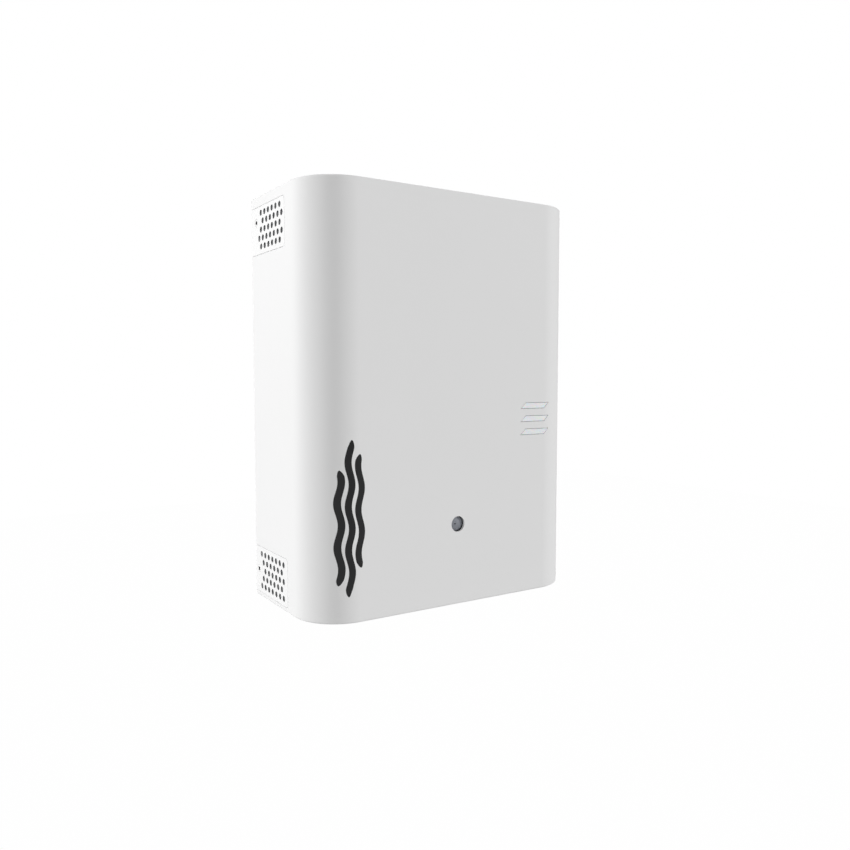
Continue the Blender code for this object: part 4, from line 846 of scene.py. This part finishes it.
# ---- Transformer, battery and mains terminals ----
def make_transformer():
    low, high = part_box("transformer_core")
    x, z = (low.x + high.x) / 2, (low.z + high.z) / 2
    half_x, half_z = (high.x - low.x) / 2, (high.z - low.z) / 2
    leg = 0.010
    count = 28
    step = (high.y - low.y) / count
    outline = rounded(low.x, high.x, low.z, high.z, 0.0006, 2)
    sheet = prism("sheet", outline, "Y", low.y, low.y + 0.86 * step, IRON)
    for sign in (-1, 1):
        u = sorted((x + sign * leg, x + sign * (half_x - leg)))
        cut(sheet, prism("window", [(u[0], z - half_z + leg), (u[1], z - half_z + leg),
                                    (u[1], z + half_z - leg), (u[0], z + half_z - leg)], "Y",
                         low.y - 0.002, low.y + step + 0.002))
    sheets = []
    for i in range(count):
        copy = bpy.data.objects.new("lamination", sheet.data.copy())
        SCENE.collection.objects.link(copy)
        shrink = 1 - 0.0035 * (i % 2)
        for vert in copy.data.vertices:
            vert.co.x = x + (vert.co.x - x) * shrink
            vert.co.z = z + (vert.co.z - z) * shrink
            vert.co.y += i * step
        sheets.append(copy)
    bpy.data.objects.remove(sheet)
    core = merge("laminated_core", sheets)
    place(core, "chassis", "dark_steel", "transformer_core")

    low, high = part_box("transformer_winding")
    bm = bmesh.new()
    levels = 26
    rings = []
    for i in range(levels + 1):
        t = i / levels
        inset = 0.0004 if i % 4 in (0, 1) else 0.0
        rows = rounded(low.x + inset, high.x - inset, low.y + inset, high.y - inset, 0.004, 6)
        rings.append([bm.verts.new((u, v, low.z + (high.z - low.z) * t)) for u, v in rows])
    for ring, above in zip(rings, rings[1:]):
        for k in range(len(ring)):
            j = (k + 1) % len(ring)
            bm.faces.new((ring[k], ring[j], above[j], above[k]))
    bm.faces.new(rings[0])
    bm.faces.new(rings[-1])
    coil = link("taped_winding", bm, TAPE)
    core_low, core_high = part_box("transformer_core")
    cut(coil, box("leg_way", (x - leg - GAP, core_low.y - GAP, low.z - 0.01),
                  (x + leg + GAP, core_high.y + GAP, high.z + 0.01)))
    flanges = []
    for z_at in (low.z, high.z - 0.0012):
        flange = prism("flange", rounded(low.x, high.x, low.y, high.y, 0.002), "Z", z_at,
                       z_at + 0.0012, IVORY)
        cut(flange, box("leg_way", (x - leg - GAP, core_low.y - GAP, z_at - 0.01),
                        (x + leg + GAP, core_high.y + GAP, z_at + 0.01)))
        flanges.append(soften(flange, 0.0002, 2))
    for vert in coil.data.vertices:
        vert.co.z = min(max(vert.co.z, low.z + 0.0012), high.z - 0.0012)
    coil.data.shade_smooth()
    coil.data.set_sharp_from_angle(angle=math.radians(60))
    place(coil, "chassis", "winding_tape", "transformer_winding")
    place(merge("bobbin_flanges", flanges), "chassis", "white_plastic")


def make_battery():
    low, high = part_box("standby_battery")
    top = high.z - 0.003
    body = box("battery_case", low, (high.x, high.y, top), GREY, 0.0016, 3)
    groove = 0.009
    around = rounded(low.x - 0.001, high.x + 0.001, low.y - 0.001, high.y + 0.001, 0.001)
    lid = prism("seam", around, "Z", top - groove, top - groove + 0.0006)
    core = prism("core", rounded(low.x + 0.0004, high.x - 0.0004, low.y + 0.0004, high.y - 0.0004,
                                 0.0012), "Z", top - groove - 0.001, top - groove + 0.002)
    cut(lid, core)
    cut(body, lid)
    place(soften(body, 0.0001, 1), "chassis", "grey_plastic", "standby_battery")
    pieces = []
    depth = (low.y + high.y) / 2
    middle, half = (low.x + high.x) / 2, (high.x - low.x) / 2
    for sign, mat in ((-1, RED), (1, BLACK)):
        spot_x = middle + sign * half / 2
        pieces.append(box("post", (spot_x - 0.0030, depth - 0.0004, top - 0.0012),
                          (spot_x + 0.0030, depth + 0.0004, high.z), TIN, 0.00015))
        pieces.append(box("well", (spot_x - 0.0045, depth - 0.0026, top - 0.0002),
                          (spot_x + 0.0045, depth - 0.0012, top + 0.0007), mat, 0.0003))
    for i in range(3):
        pieces.append(box("vent", (middle - 0.016 + 0.014 * i, low.y + 0.004, top - 0.0002),
                          (middle - 0.011 + 0.014 * i, low.y + 0.009, top + 0.0003), GREY, 0.0002))
    place(merge("battery_terminals", pieces), "chassis", "steel")


def terminal_block(name, node, mat, slot, count, wire_side):
    """A block with a clamping screw in each well and a wire opening at its lower or upper end."""
    low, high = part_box(node)
    body = box("body", low, high, mat, 0)
    pitch = (high.x - low.x) / count
    middle = (low.z + high.z) / 2
    radius = 0.0022
    ways, screws = [], []
    for i in range(count):
        x = low.x + pitch * (i + 0.5)
        ways.append(circle(x, middle, radius, 24))
        screws.append(turned("clamp_screw", [(0, 0.0016), (0.0016, 0.0016), (0.0018, 0.0014),
                                             (0.0018, 0), (0, 0)], (x, low.y + 0.0038, middle),
                             FORWARD, SCREW, 24))
        slot_cut = box("slot", (x - 0.0022, low.y + 0.001, middle - 0.0003),
                       (x + 0.0022, low.y + 0.0027, middle + 0.0003))
        slot_cut.data.transform(Matrix.Translation((x, 0, middle))
                                @ Matrix.Rotation(math.radians(37 * i + 20), 4, "Y")
                                @ Matrix.Translation((-x, 0, -middle)))
        cut(screws[-1], slot_cut)
    tools = [prism("wells", ways, "Y", low.y - 0.004, low.y + 0.004)]
    end = low.z if wire_side < 0 else high.z
    throats = [rounded(low.x + pitch * (i + 0.5) - 0.0019, low.x + pitch * (i + 0.5) + 0.0019,
                       (low.y + high.y) / 2 - 0.0012, (low.y + high.y) / 2 + 0.0028, 0.0005, 3)
               for i in range(count)]
    tools.append(prism("throats", throats, "Z", end - 0.003, end + 0.003))
    ribs = []
    for i in range(1, count):
        left, right = low.x + pitch * i - 0.0002, low.x + pitch * i + 0.0002
        ribs.append([(left, low.y - 0.001), (right, low.y - 0.001),
                     (right, low.y + 0.0005), (left, low.y + 0.0005)])
    tools.append(prism("grooves", ribs, "Z", low.z - 0.001, high.z + 0.001))
    cut(body, *tools)
    soften(body, 0.0002, 2, 50)
    place(merge(name, [body] + screws), "chassis", slot, node)


# ---- Control board ----
BOARD_X = (0.0305, 0.1155)
BOARD_Z = (up(0.132), up(0.300))
BOARD_Y = (-0.0896, -0.0880)
FACE = BOARD_Y[0]
LED_X = 0.0825
CHIP = (0.0885, up(0.2298))


def chip(x, z, half_x, half_z, tall, legs, name="chip"):
    """A flat black package with bent legs down its two sides."""
    pieces = [box(name, (x - half_x, FACE - tall, z - half_z),
                  (x + half_x, FACE - 0.0002, z + half_z), BLACK, 0.0003)]
    for side in (-1, 1):
        for i in range(legs):
            at = z - half_z + (i + 0.5) * 2 * half_z / legs
            near = x + side * half_x
            outline = [(near - side * 0.0002, FACE - tall * 0.55), (near + side * 0.0006,
                       FACE - tall * 0.55), (near + side * 0.0009, FACE - 0.0002),
                       (near + side * 0.0015, FACE - 0.0002),
                       (near + side * 0.0015, FACE - 0.00002),
                       (near + side * 0.0007, FACE - 0.00002), (near + side * 0.0004,
                       FACE - tall * 0.42), (near - side * 0.0002, FACE - tall * 0.42)]
            pieces.append(prism("leg", outline, "Z", at - 0.0002, at + 0.0002, TIN))
    dot = turned("dot", [(0.0003, -0.00001), (0.0006, -0.00001), (0.0006, 0.00002),
                         (0.0003, 0.00002)],
                 (x - half_x + 0.0013, FACE - tall, z + half_z - 0.0013), FORWARD, SILK, 16)
    return pieces + [dot]


def small_part(x, z, along, tall, mat):
    """A surface-mount part with a soldered cap at each end."""
    u, v = (0.0011, 0.0006) if along else (0.0006, 0.0011)
    body_u, body_v = u * (0.62 if along else 1), v * (1 if along else 0.62)
    pieces = [box("smd", (x - u * 0.62, FACE - tall, z - body_v),
                  (x + body_u, FACE - 0.0001, z + body_v), mat, 0)]
    for sign in (-1, 1):
        cx = x + sign * u * 0.81 if along else x
        cz = z if along else z + sign * v * 0.81
        hu = u * 0.19 if along else u
        hv = v if along else v * 0.19
        pieces.append(box("cap", (cx - hu, FACE - tall - 0.00003, cz - hv),
                          (cx + hu, FACE - 0.00002, cz + hv), TIN, 0))
    return pieces


def track(points, half=0.00035, tall=0.00004):
    """A raised copper track under the solder mask, along a line of board points."""
    pieces = []
    for (x0, z0), (x1, z1) in zip(points, points[1:]):
        d = Vector((x1 - x0, z1 - z0)).normalized() * half
        n = Vector((-d.y, d.x))
        outline = [(x0 - d.x + n.x, z0 - d.y + n.y), (x0 - d.x - n.x, z0 - d.y - n.y),
                   (x1 + d.x - n.x, z1 + d.y - n.y), (x1 + d.x + n.x, z1 + d.y + n.y)]
        pieces.append(prism("track", outline, "Y", FACE - tall, FACE + 0.00002, TRACK))
    return pieces


def ring_outline(x, z, half_x, half_z, line=0.0003):
    """A silkscreen rectangle of thin lines."""
    pieces = []
    for u0, u1, v0, v1 in ((x - half_x, x + half_x, z - half_z, z - half_z + line),
                           (x - half_x, x + half_x, z + half_z - line, z + half_z),
                           (x - half_x, x - half_x + line, z - half_z, z + half_z),
                           (x + half_x - line, x + half_x, z - half_z, z + half_z)):
        pieces.append(box("line", (u0, FACE - 0.00003, v0), (u1, FACE + 0.00001, v1), SILK, 0))
    return pieces


def make_board():
    holes = [(x, z) for x in (0.0355, 0.1105) for z in (up(0.137), up(0.283))]
    board = prism("fog_control_board", rounded(*BOARD_X, *BOARD_Z, 0.0015), "Y", *BOARD_Y, BOARD)
    cut(board, prism("board_holes", [circle(x, z, 0.0016, 28) for x, z in holes], "Y",
                     FACE - 0.004, FACE + 0.006))
    place(soften(board, 0.00012, 1), "chassis", "green_board", "control_board")

    pieces = []
    for x, z in holes:
        pieces.append(turned("pad", [(0.0016, -0.0001), (0.0032, -0.0001), (0.0032, 0.00004),
                                     (0.0016, 0.00004)], (x, FACE, z), FORWARD, TIN, 28))
        pieces.append(pan_head((x, FACE - 0.0001, z), FORWARD, 0.0026, 0.0017))
    place(merge("board_screws", pieces), "chassis", "screw_steel")

    pieces = chip(*CHIP, 0.0050, 0.0058, 0.0016, 10)
    pieces += chip(0.0640, up(0.2330), 0.0030, 0.0040, 0.0014, 6)
    pieces += chip(0.0640, up(0.2640), 0.0026, 0.0032, 0.0014, 4)
    crystal = prism("crystal", rounded(0.0720, 0.0820, up(0.2440), up(0.2480), 0.0019), "Y",
                    FACE - 0.0030, FACE - 0.0002, TIN)
    pieces.append(soften(crystal, 0.0004, 3))
    place(merge("board_chips", pieces), "chassis", "black_plastic")

    draw = random.Random(41)
    pieces = []
    for gx in range(9):
        for gz in range(8):
            x = 0.0560 + 0.0054 * gx
            z = up(0.2050 + 0.0098 * gz)
            near_chip = abs(x - CHIP[0]) < 0.0085 and abs(z - CHIP[1]) < 0.0085
            near_small = abs(x - 0.0640) < 0.0065 and (abs(z - up(0.2330)) < 0.0060
                                                       or abs(z - up(0.2640)) < 0.0055)
            near_dial = x > 0.0970 and abs(z - up(0.2414)) < 0.0075
            near_crystal = 0.0700 < x < 0.0840 and abs(z - up(0.2460)) < 0.0040
            if near_chip or near_small or near_dial or near_crystal or draw.random() < 0.35:
                continue
            tone = draw.choice((BLACK, BLACK, LEAD_TAN))
            pieces += small_part(x, z, draw.random() < 0.5, draw.choice((0.0005, 0.0007)), tone)
    for base in BAR_BASES:
        z = base + BAR_TALL / 2
        pieces.append(box("led", (LED_X - 0.0016, FACE - 0.0016, z - 0.0014),
                          (LED_X + 0.0016, FACE - 0.0001, z + 0.0014), LENS, 0.0003))
        pieces += small_part(LED_X - 0.0060, z, True, 0.0005, BLACK)
    place(merge("board_small_parts", pieces), "chassis", "black_plastic")

    pieces = []
    for i in range(10):
        x = 0.0730 + (i - 4.5) * 0.007
        end = CHIP[0] + (i - 4.5) * 0.0009
        pieces += track([(x, up(0.2880)), (x, up(0.2800 - 0.0008 * abs(i - 4.5))),
                         (end, up(0.2560)), (end, up(0.2380))])
    for i, base in enumerate(BAR_BASES):
        z = base + BAR_TALL / 2
        lane = 0.0960 + 0.0012 * i
        pieces += track([(LED_X + 0.0020, z), (lane, z), (lane, up(0.2210))])
        pieces += track([(LED_X - 0.0075, z), (0.0725 - 0.0012 * i, z),
                         (0.0725 - 0.0012 * i, up(0.2200))])
    for i in range(4):
        x = 0.0520 + (i - 1.5) * 0.007
        pieces += track([(x, up(0.1440)), (x, up(0.1700)),
                         (0.0375 + 0.0035 * i, up(0.1790))], 0.0010)
    pieces += track([(0.0675, up(0.2080)), (0.0675, up(0.2200)), (0.0440, up(0.2240)),
                     (0.0440, up(0.2450))], 0.0006)
    pieces += track([(0.1052, up(0.2000)), (0.1052, up(0.2150)), (0.0945, up(0.2250))], 0.0004)
    pieces += track([(0.1052, up(0.2360)), (0.1000, up(0.2310)), (0.0950, up(0.2310))], 0.0004)
    place(merge("board_tracks", pieces), "chassis", "green_board")

    pieces = ring_outline(0.0435, up(0.1949), 0.0090, 0.0150)
    pieces += ring_outline(*CHIP, 0.0078, 0.0070)
    pieces += ring_outline(0.1052, up(0.1949), 0.0052, 0.0052)
    pieces += ring_outline(0.1052, up(0.2414), 0.0060, 0.0060)
    pieces += ring_outline(0.0520, up(0.1385), 0.0148, 0.0058)
    place(merge("board_outlines", pieces), "chassis", "white_plastic")


def make_board_parts():
    low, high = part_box("relay")
    relay = box("relay_case", low, high, BLUE, 0)
    cut(relay, box("foot", (low.x - 0.001, high.y - 0.0012, low.z - 0.001),
                   (low.x + 0.0006, high.y + 0.001, high.z + 0.001)),
        box("foot2", (high.x - 0.0006, high.y - 0.0012, low.z - 0.001),
            (high.x + 0.001, high.y + 0.001, high.z + 0.001)))
    soften(relay, 0.0007, 3)
    # A flush black square on the relay's face: painted shade for a vent hole.
    vent = box("vent", (high.x - 0.004, low.y - 0.00001, high.z - 0.004),
               (high.x - 0.0025, low.y + 0.0004, high.z - 0.0025), BLACK, 0)
    place(merge("relay_block", [relay, vent]), "chassis", "blue_plastic", "relay")

    low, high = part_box("capacitor")
    spot = ((low.x + high.x) / 2, high.y, (low.z + high.z) / 2)
    radius, tall = (high.x - low.x) / 2, high.y - low.y
    profile = [(0, 0), (radius - 0.0004, 0), (radius, 0.0005), (radius, 0.0022),
               (radius - 0.0007, 0.0030), (radius - 0.0007, 0.0038), (radius, 0.0046),
               (radius, tall - 0.0008), (radius - 0.0006, tall - 0.0001),
               (radius - 0.0016, tall - 0.0001)]
    profile += [(radius - 0.0016, tall - 0.0006), (0, tall - 0.0006)]
    sleeve = turned("sleeve", profile, spot, FORWARD, DARK_SLEEVE, 56)
    top = turned("top", [(0, tall - 0.0004), (radius - 0.0022, tall - 0.0004),
                         (radius - 0.0020, tall - 0.0007), (0, tall - 0.0007)], spot, FORWARD,
                 CAN, 48)
    scores = [box("score", (spot[0] - 0.0050, low.y + 0.00035, spot[2] - 0.0001),
                  (spot[0] + 0.0050, low.y + 0.0010, spot[2] + 0.0001)),
              box("score", (spot[0] - 0.0001, low.y + 0.00035, spot[2] - 0.0050),
                  (spot[0] + 0.0001, low.y + 0.0010, spot[2] + 0.0050))]
    for score in scores:
        score.data.transform(Matrix.Translation((0, -0.0001, 0)))
    cut(top, *scores)
    stripe = []
    for i in range(7):
        angle = math.radians(-26 + 52 * i / 6)
        stripe.append((spot[0] + (radius + 0.00003) * math.sin(angle),
                       spot[2] - (radius + 0.00003) * math.cos(angle)))
    inner = [(spot[0] + (u - spot[0]) * 0.99, spot[2] + (v - spot[2]) * 0.99)
             for u, v in reversed(stripe)]
    band = prism("stripe", stripe + inner, "Y", low.y + 0.0012, high.y - 0.0050, LENS)
    place(merge("smoothing_capacitor", [sleeve, top, band]), "chassis", "black_plastic",
          "capacitor")

    low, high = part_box("buzzer")
    spot = ((low.x + high.x) / 2, high.y, (low.z + high.z) / 2)
    radius, tall = (high.x - low.x) / 2, high.y - low.y
    profile = [(0, 0), (radius - 0.0002, 0), (radius, 0.0003), (radius, tall - 0.0010),
               (radius - 0.0008, tall - 0.0001), (0.0030, tall), (0.0026, tall - 0.0003),
               (0.0014, tall - 0.0003), (0.0012, tall - 0.0006), (0.0012, tall - 0.0040),
               (0, tall - 0.0040)]
    place(turned("sounder", profile, spot, FORWARD, BLACK, 48), "chassis", "black_plastic",
          "buzzer")


def make_controls():
    low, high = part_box("test_switch")
    spot = ((low.x + high.x) / 2, high.y, (low.z + high.z) / 2)
    tall = high.y - low.y
    base = box("base", (low.x, low.y + 0.0005, low.z), high, BLACK, 0.0003)
    frame_top = prism("frame", rounded(low.x + 0.0002, high.x - 0.0002, low.z + 0.0002,
                                       high.z - 0.0002, 0.0004, 3), "Y", low.y, low.y + 0.0006, TIN)
    well = turned("well", [(0, tall - 0.0021), (0.0021, tall - 0.0021), (0.0021, tall + 0.004),
                           (0, tall + 0.004)], spot, FORWARD, None, 36)
    copy = bpy.data.objects.new("well_copy", well.data.copy())
    SCENE.collection.objects.link(copy)
    cut(base, well)
    cut(frame_top, copy)
    rivets = [turned("rivet", [(0, 0.0002), (0.0003, 0.0002), (0.0005, 0), (0, -0.0001)],
                     (spot[0] + sx * 0.0031, low.y + 0.0001, spot[2] + sz * 0.0031),
                     FORWARD, BLACK, 14) for sx in (-1, 1) for sz in (-1, 1)]
    place(merge("push_switch", [base, frame_top] + rivets), "chassis", "black_plastic",
          "test_switch")

    low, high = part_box("test_button")
    radius, tall = (high.x - low.x) / 2, high.y - low.y
    profile = [(0, 0), (radius, 0), (radius, tall - 0.0006)]
    profile += [(radius - 0.0006 + 0.0006 * math.cos(math.radians(a)),
                 tall - 0.0006 + 0.0005 * math.sin(math.radians(a))) for a in range(15, 91, 15)]
    profile += [(0, tall)]
    place(turned("push_cap", profile, (spot[0], high.y, spot[2]), FORWARD, RED, 36), "button",
          "red_plastic", "test_button")

    low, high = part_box("timer_trimmer")
    body = box("trimmer", low, high, BLUE, 0)
    spot = ((low.x + high.x) / 2, high.y, (low.z + high.z) / 2)
    tall = high.y - low.y
    cut(body, turned("well", [(0, tall - 0.0023), (0.0031, tall - 0.0023), (0.0031, tall + 0.004),
                              (0, tall + 0.004)], spot, FORWARD, None, 40))
    soften(body, 0.0004, 3, 50)
    marks = []
    for i in range(9):
        angle = math.radians(-135 + 270 * i / 8)
        bm = bmesh.new()
        bmesh.ops.create_cube(bm, size=1)
        bmesh.ops.scale(bm, verts=bm.verts, vec=(0.00022, 0.00008, 0.0008))
        bm.transform(Matrix.Translation((spot[0], low.y, spot[2])) @ Matrix.Rotation(angle, 4, "Y")
                     @ Matrix.Translation((0, 0, 0.0040)))
        marks.append(link("mark", bm, SILK))
    place(merge("trimmer_body", [body] + marks), "chassis", "blue_plastic", "timer_trimmer")

    low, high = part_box("timer_rotor")
    radius, tall = (high.x - low.x) / 2, high.y - low.y
    rotor = turned("trimmer_rotor", [(0, 0), (radius, 0), (radius, tall - 0.0003),
                                     (radius - 0.0003, tall), (0, tall)],
                   (spot[0], high.y, spot[2]), FORWARD, BRASS, 40)
    cut(rotor, box("slot", (spot[0] - 0.0004, low.y - 0.002, spot[2] - 0.004),
                   (spot[0] + 0.0004, low.y + 0.0008, spot[2] + 0.004)))
    place(rotor, "rotor", "brass", "timer_rotor")

    low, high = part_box("tamper_switch")
    body = box("case", low, high, BLACK, 0)
    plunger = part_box("tamper_plunger")
    mouth = ((plunger[0].x + plunger[1].x) / 2, low.y, (plunger[0].z + plunger[1].z) / 2)
    radius = (plunger[1].x - plunger[0].x) / 2
    cut(body, turned("well", [(0, -0.0063), (radius + GAP, -0.0063), (radius + GAP, 0.004),
                              (0, 0.004)], mouth, FORWARD, None, 32))
    soften(body, 0.0005, 3, 50)
    extras = [turned("eyelet", [(0.0011, -0.0001), (0.0018, -0.0001), (0.0018, 0.00012),
                                (0.0011, 0.0002)], (low.x + 0.0045 + 0.011 * k, (low.y + high.y) / 2
                                                    + 0.003, high.z), (0, 0, 1), BRASS, 24)
              for k in range(2)]
    extras.append(turned("guide", [(radius + GAP, -0.0001), (radius + 0.0011, -0.0001),
                                   (radius + 0.0009, 0.0006), (radius + GAP, 0.0007)], mouth,
                         FORWARD, BLACK, 28))
    place(merge("tamper_case", [body] + extras), "chassis", "black_plastic", "tamper_switch")
    low, high = plunger
    tall = high.y - low.y
    profile = [(0, 0), (radius, 0), (radius, tall - 0.0012)]
    profile += [(radius * math.cos(math.radians(a)),
                 tall - 0.0012 + 0.0012 * math.sin(math.radians(a))) for a in range(15, 91, 15)]
    place(turned("tamper_pin", profile, (mouth[0], high.y, mouth[2]), FORWARD, IVORY, 32),
          "tamper", "white_plastic", "tamper_plunger")


# ---- Internal leads ----
LEAD_R = 0.0014
LEADS = {
    "heater_lead_upper": [(0.0615, -0.0590, 0.0836), (0.0735, -0.0590, 0.0836),
                          (0.0835, -0.0590, 0.0866), (0.0895, -0.0630, 0.1040),
                          (0.0805, -0.0780, 0.1232), (0.0645, -0.0895, 0.1232),
                          (0.0575, -0.0955, 0.1262), (0.0555, -0.0965, 0.1332)],
    "heater_lead_lower": [(0.0615, -0.0590, 0.0516), (0.0735, -0.0590, 0.0516),
                          (0.0855, -0.0590, 0.0556), (0.0975, -0.0590, 0.0850),
                          (0.0965, -0.0670, 0.1080), (0.0855, -0.0910, 0.1232),
                          (0.0705, -0.1005, 0.1232), (0.0635, -0.0975, 0.1262),
                          (0.0625, -0.0965, 0.1332)],
    "valve_lead": [(-0.0739, -0.0880, 0.1410), (-0.0659, -0.0890, 0.1390),
                   (-0.0439, -0.0930, 0.1290), (-0.01195, -0.0950, 0.1232),
                   (0.0315, -0.0975, 0.1232), (0.0405, -0.0965, 0.1272),
                   (0.0415, -0.0965, 0.1332)],
    "battery_lead": [(0.0600, -0.0233, 0.2517), (0.0590, -0.0253, 0.2623),
                     (0.0500, -0.0450, 0.2980), (0.0500, -0.0660, 0.3070),
                     (0.0500, -0.0835, 0.3080), (0.0500, -0.0935, 0.3060),
                     (0.0500, -0.0965, 0.2988)],
    "mains_lead": [(-0.0932, -0.0120, 0.0883), (-0.0932, -0.0120, 0.1003),
                   (-0.0784, -0.0100, 0.1300), (-0.0564, -0.0100, 0.1525),
                   (-0.0494, -0.0120, 0.1750), (-0.0444, -0.0160, 0.2050),
                   (-0.02995, -0.0320, 0.2320), (-0.01395, -0.0451, 0.2420),
                   (-0.01195, -0.0451, 0.2500)],
}


def make_leads():
    """Each lead is a sleeve, with a collar and a tinned ferrule at both ends."""
    for name, points in LEADS.items():
        route = smooth_route([(x, y, up(z)) for x, y, z in points])
        sleeve = pipe(f"{name}_sleeve", route[1:-1], LEAD_R, SLEEVE, 18)
        pieces = [sleeve]
        for ends in (route[:3], route[-3:]):
            pieces.append(pipe("ferrule", ends, 0.0009, TIN, 14))
        along = route[1:-1]
        for at, toward in ((0, 1), (-1, -2)):
            facing = (along[toward] - along[at]).normalized()
            collar = [(LEAD_R - 0.0003, -0.00005), (LEAD_R, 0), (LEAD_R, 0.0030),
                      (LEAD_R - 0.0002, 0.0032)]
            pieces.append(turned("collar", collar, along[at], facing, DARK_SLEEVE, 18))
        place(merge(f"{name}_cable", pieces), "chassis", "lead_sleeve", name)


# ---- Floor, lights and camera ----
# The floor and the sky are plain white to the camera whatever light falls on them, so no shadow of
# the unit shows on the floor. Every other ray meets the dimmer floor and sky.
def glow_to_camera(tree, plain, strength):
    """Let the camera see clean white where the light itself is dimmer."""
    white = tree.nodes.new(plain.bl_idname if plain.bl_idname == "ShaderNodeBackground"
                           else "ShaderNodeEmission")
    white.inputs["Color"].default_value = (1, 1, 1, 1)
    white.inputs["Strength"].default_value = strength
    seen = tree.nodes.new("ShaderNodeLightPath")
    mix = tree.nodes.new("ShaderNodeMixShader")
    tree.links.new(seen.outputs["Is Camera Ray"], mix.inputs["Fac"])
    tree.links.new(plain.outputs[0], mix.inputs[1])
    tree.links.new(white.outputs[0], mix.inputs[2])
    end = [n for n in tree.nodes if n.bl_idname.startswith("ShaderNodeOutput")][0]
    tree.links.new(mix.outputs["Shader"], end.inputs["Surface"])


def make_stage():
    bm = bmesh.new()
    bmesh.ops.create_grid(bm, x_segments=2, y_segments=2, size=6)
    bmesh.ops.translate(bm, verts=bm.verts, vec=(0, 0, BOTTOM - FLOOR_DROP))
    paper = finish("pale_paper", (0.70, 0.70, 0.70), 0.9, tone=0.005, blotch=2, grain=60)
    glow_to_camera(paper.node_tree, paper.node_tree.nodes["Principled BSDF"], 0.995)
    link("floor", bm, paper)
    world = bpy.data.worlds.new("studio")
    SCENE.world = world
    world.use_nodes = True
    sky = world.node_tree.nodes["Background"]
    sky.inputs["Color"].default_value = (1, 1, 1, 1)
    sky.inputs["Strength"].default_value = SKY
    glow_to_camera(world.node_tree, sky, 1.0)


def make_light(name, azimuth, elevation, strength, spread):
    """A large far lamp; azimuth 0 shines on the left side and 90 on the front."""
    data = bpy.data.lights.new(name, "SUN")
    data.energy = strength
    data.angle = math.radians(spread)
    lamp = bpy.data.objects.new(name, data)
    across = math.cos(math.radians(elevation))
    source = Vector((-across * math.cos(math.radians(azimuth)),
                     -across * math.sin(math.radians(azimuth)), math.sin(math.radians(elevation))))
    lamp.location = source
    lamp.rotation_euler = (-source).to_track_quat("-Z", "Y").to_euler()
    SCENE.collection.objects.link(lamp)


FLOOR_DROP = 0.9
SKY = 0.255
LIGHTS = {
    "key_left": (-30, 22, 1.96, 20),
    "rim_left": (-60, 15, 0.8, 20),
    "fill_front": (60, 25, 0.77, 20),
    "fill_right": (150, 20, 1.52, 20),
}


def make_camera():
    data = bpy.data.cameras.new("camera")
    data.sensor_width = 36
    data.lens = 785.47 * data.sensor_width / 850
    camera = bpy.data.objects.new("camera", data)
    camera.location = (-0.3726, -0.6517, 0.0215)
    camera.rotation_euler = (math.radians(90 - 3.66), 0, math.radians(-32.69))
    SCENE.collection.objects.link(camera)
    SCENE.camera = camera
    SCENE.view_settings.view_transform = "Standard"


make_cover()
make_bars()
make_print()
for side, sign in SIDES:
    for level in PLATES:
        make_plate(level, side, sign)
    make_screw(f"case_screw_{side}", (sign * COVER_SCREW[0], COVER_SCREW[1], BOTTOM), (0, 0, 1),
               SCREW, "cover", f"cover_screw_{side}")
make_tip()
make_lid()
make_nozzle_tube()
make_can()
make_valve()
make_pipe()
make_transformer()
make_battery()
terminal_block("mains_block", "mains_terminals", GREY, "grey_plastic", 3, -1)
terminal_block("power_block", "power_terminals", GREEN, "green_plastic", 4, -1)
terminal_block("signal_block", "signal_terminals", GREEN, "green_plastic", 10, 1)
make_board()
make_board_parts()
make_controls()
make_leads()
make_fixings()
keep(ZINC, "chassis", "can_cradle", "heater_housing", "battery_bracket", "transformer_clamp",
     "board_tray")
keep(WOOL, "insulation_front", "insulation_rear")
keep(CAST, "heater_block")
keep(PIPE, "heater_cartridge_upper", "heater_cartridge_lower")
keep(BLACK, "thermal_cutout")
keep(RUBBER, "cable_grommet_left", "cable_grommet_right")
make_stage()
for name, values in LIGHTS.items():
    make_light(name, *values)
make_camera()
